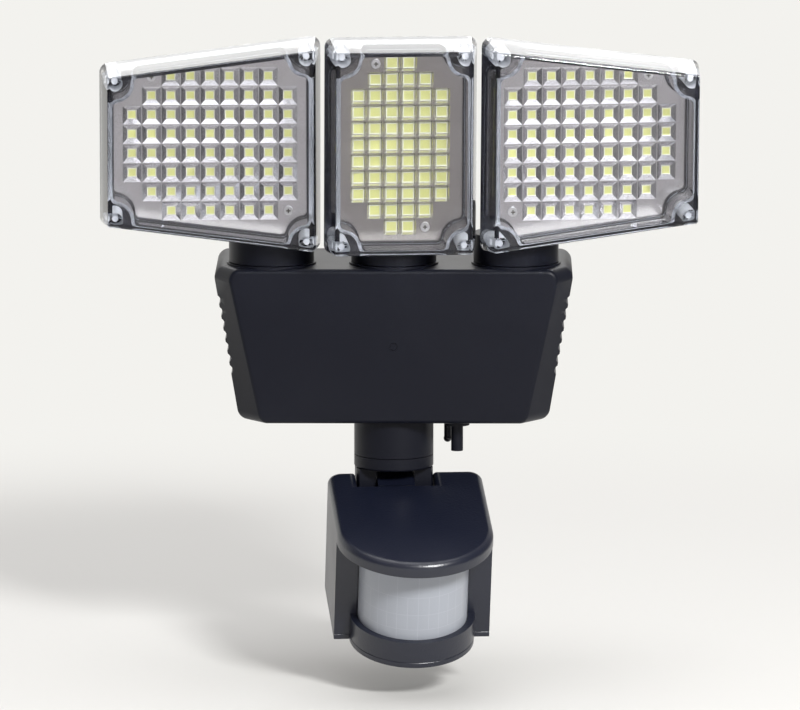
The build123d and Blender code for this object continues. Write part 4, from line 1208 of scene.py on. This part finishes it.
@dataclass(frozen=True)
class MotionSensor:
    """The visored sensor box under the neck, with sizes in millimetres from its tilt axis.

    Attributes:
        nodes: The frame's nodes by name.
        palette: The light's finishes.
        pose: Where it hangs.
        offset: Its middle, to the right of its hinge.
        front: From its hinge forward to the middle of the lens's curve.
        radius: Outer radius of the lens.
        thick: Thickness of the lens.
        ends: Lowest and highest level of the lens.
        rows: Levels between the lens's rows.
        columns: Columns of the lens's middle rows.
        seam: Width of a line between two cells.
        leg: How far the lens runs back past its half circle.
        roof: Level of the roof.
        roof_radius: Radius of the roof's flat front.
        roof_length: From the middle of that radius back to the hinge's notch.
        roof_crown: Height of the roof's crown.
        roof_step: From line to line of the grid that the crown is raised on.
        cross: Cross of its screws.
        body: The body that it is.
        SEAM_SLACK: How far an edge may lie off a seam, as a share of a cell.
        END_ANGLE: Angle at the ends of the lens that stays free of seams.
    """

    SEAM_SLACK = 0.02
    END_ANGLE = 0.1

    nodes: Nodes
    palette: Palette
    pose: Pose
    offset: float = 4.2
    front: float = 50.2
    radius: float = 22.8
    thick: float = 1.2
    ends: Span = (-43.2, 4.2)
    rows: tuple[float, ...] = (-14.5, -22.6, -29.4)
    columns: int = 16
    seam: float = 0.22
    leg: float = 3.3
    roof: float = 6.4
    roof_radius: float = 29.3
    roof_length: float = 36.0
    roof_crown: float = 1.8
    roof_step: int = 4
    cross: CrossRecess = CrossRecess(2.6, 0.6, 0.8)
    body: str = "motion_sensor"

    def place(self) -> Matrix:
        """The sensor's middle plane and hinge height in row coordinates."""
        return self.pose.matrix() @ Matrix.Translation((self.offset * MM, 0.0, 0.0))

    def window(self) -> Piece:
        """Models the milky lens as a half-round sheet of cells with seams between them.

        Returns:
            The lens in its place.
        """
        low, high = (end * MM for end in self.ends)
        deselect()
        bpy.ops.mesh.primitive_cylinder_add(
            vertices=8 * self.columns, radius=self.radius * MM, depth=high - low, end_fill_type="NOTHING",
            location=(0.0, 0.0, (low + high) / 2),
        )
        sheet = bpy.context.active_object
        sheet.name = "milky_window"
        bpy.ops.object.transform_apply(location=True, rotation=False, scale=False)
        paint(sheet, self.palette.milky, self.palette.milky_seam_painted_highlight)
        bpy.ops.object.mode_set(mode="EDIT")
        for level in self.rows:
            bpy.ops.mesh.select_all(action="SELECT")
            bpy.ops.mesh.bisect(plane_co=(0.0, 0.0, level * MM), plane_no=(0.0, 0.0, 1.0))
        select(sheet, "VERT", lambda corner: corner.co.y > TOUCH)
        bpy.ops.mesh.delete(type="VERT")

        def ends(edge: bpy.types.MeshEdge) -> list[Vector]:
            """Both ends of an edge."""
            return [sheet.data.vertices[index].co for index in edge.vertices]

        select(sheet, "EDGE", lambda edge: self._is_seam(*ends(edge)))
        # The seam faces take the paler second material, painted as highlight lines.
        bpy.ops.mesh.bevel(offset=self.seam / 2 * MM, segments=1, affect="EDGES", material=1)
        select(sheet, "EDGE", lambda edge: all(end.y > -TOUCH for end in ends(edge)))
        bpy.ops.mesh.extrude_region_move(TRANSFORM_OT_translate={"value": (0.0, self.leg * MM, 0.0)})
        bpy.ops.mesh.select_all(action="SELECT")
        bpy.ops.mesh.normals_make_consistent(inside=False)
        bpy.ops.object.mode_set(mode="OBJECT")
        wall = sheet.modifiers.new("thickness", "SOLIDIFY")
        wall.thickness = self.thick * MM
        wall.offset = -1.0
        wall.use_even_offset = True
        apply_modifiers(sheet)
        smooth(sheet, 40.0)
        return seat(sheet, self.place() @ Matrix.Translation((0.0, -self.front * MM, 0.0)))

    def crown(self, case: Piece) -> Piece:
        """Cuts the flat roof into a grid and raises a gentle crown, from nothing at the rim.

        Args:
            case: The sensor's case in its place.

        Returns:
            The same case.
        """
        place = self.place()
        local = place.inverted()
        span, step = int(self.roof_radius), self.roof_step
        across = [(Vector((1.0, 0.0, 0.0)), x) for x in range(-span, span + 1, step)]
        along = [(Vector((0.0, 1.0, 0.0)), -y) for y in range(step, int(self.front) + span, step)]
        for axis, level in across + along:
            select(case, "FACE", lambda face: abs((local @ face.center).z - self.roof * MM) < NEAR)
            bpy.ops.mesh.bisect(plane_co=place @ (axis * level * MM), plane_no=place.to_3x3() @ axis)
        bpy.ops.object.mode_set(mode="OBJECT")
        for corner in case.data.vertices:
            spot = local @ corner.co
            if abs(spot.z - self.roof * MM) < NEAR:
                spot.z += self._rise(spot.x / MM, spot.y / MM) * MM
                corner.co = place @ spot
        return smooth(case)

    def _rise(self, x: float, y: float) -> float:
        """Height of the roof's crown above its flat.

        Args:
            x: Place across the sensor, in millimetres.
            y: Place along it, in millimetres, with the front below zero.

        Returns:
            The height, in millimetres.
        """
        ahead = y + self.front
        share = x * x + ahead * ahead if ahead < 0.0 else x * x
        dome = max(0.0, 1.0 - share / self.roof_radius ** 2)
        fade = 1.0 if ahead < 0.0 else max(0.0, 1.0 - (ahead / self.roof_length) ** 2)
        return self.roof_crown * dome * fade

    def _is_seam(self, first: Vector, second: Vector) -> bool:
        """Tells whether an edge of the sheet lies on a line between two cells.

        Args:
            first: One end of the edge.
            second: The other end.

        Returns:
            True for an edge that becomes a seam.
        """
        if abs(first.z - second.z) < NEAR:
            return any(abs(first.z - level * MM) < NEAR for level in self.rows)
        middle = (first.z + second.z) / 2
        outer = middle > self.rows[0] * MM or middle < self.rows[-1] * MM
        step = math.pi / self.columns * (2 if outer else 1)
        angle = math.atan2(-first.y, first.x) / step
        inside = self.END_ANGLE < angle * step < math.pi - self.END_ANGLE
        return inside and abs(angle - round(angle)) < self.SEAM_SLACK

    def build(self) -> None:
        """Dresses the sensor."""
        nodes, palette = self.nodes, self.palette
        case = self.crown(paint(smooth_copy(nodes["sensor_housing"], "sensor_case"), palette.grained))
        hand_in(case, self.body, "black_housing", "sensor_housing")
        dress(nodes, "sensor_base", "sensor_floor", self.body, "black_housing", palette.grained)
        hand_in(self.window(), self.body, "milky_lens", "fresnel_lens")
        dress(nodes, "sensor_collar", "collar", "sensor_swivel", "black_housing", palette.housing)
        for node in ("time_dial", "range_dial"):
            dress(nodes, node, f"{node}_knob", node, "black_housing", palette.smooth_black)
        below = self.pose.matrix().to_3x3() @ Vector((0.0, 0.0, -1.0))
        piece = self.cross.cut(nodes["sensor_screws"], "sensor_screws_crossed", below, palette.screw)
        hand_in(piece, self.body, "screw_steel", "sensor_screws")
        paint(nodes["sensor_board"], palette.green_board)
        paint(nodes["pyro_sensor"], palette.steel)
        paint(nodes["sensor_tilt_pin"], palette.dark_steel)
        paint(nodes["sensor_retainer"], palette.housing)


def main() -> None:
    """Builds the studio and dresses every sub-assembly."""
    logging.basicConfig(level=logging.INFO)
    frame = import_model()
    nodes, palette = frame["nodes"], Palette()
    Studio().build()
    BatteryHousing(nodes, palette).build()
    heads = (
        (Side.LEFT, Pose((-0.051, -0.053, 0.0585), 2.6, 2.5), -25.9, 1, SIDE_GRID),
        (Side.CENTRE, Pose((0.0, -0.053, 0.0585), 5.5, 3.5), 0.0, 1, CENTRE_GRID),
        (Side.RIGHT, Pose((0.051, -0.053, 0.0585), 8.6, 2.7), 25.9, -1, SIDE_GRID),
    )
    for head in heads:
        LampHead(nodes, palette, *head).build()
    MotionSensor(nodes, palette, Pose((0.0, -0.05, -0.056), 5.9, 17.9)).build()


if __name__ == "__main__":
    main()
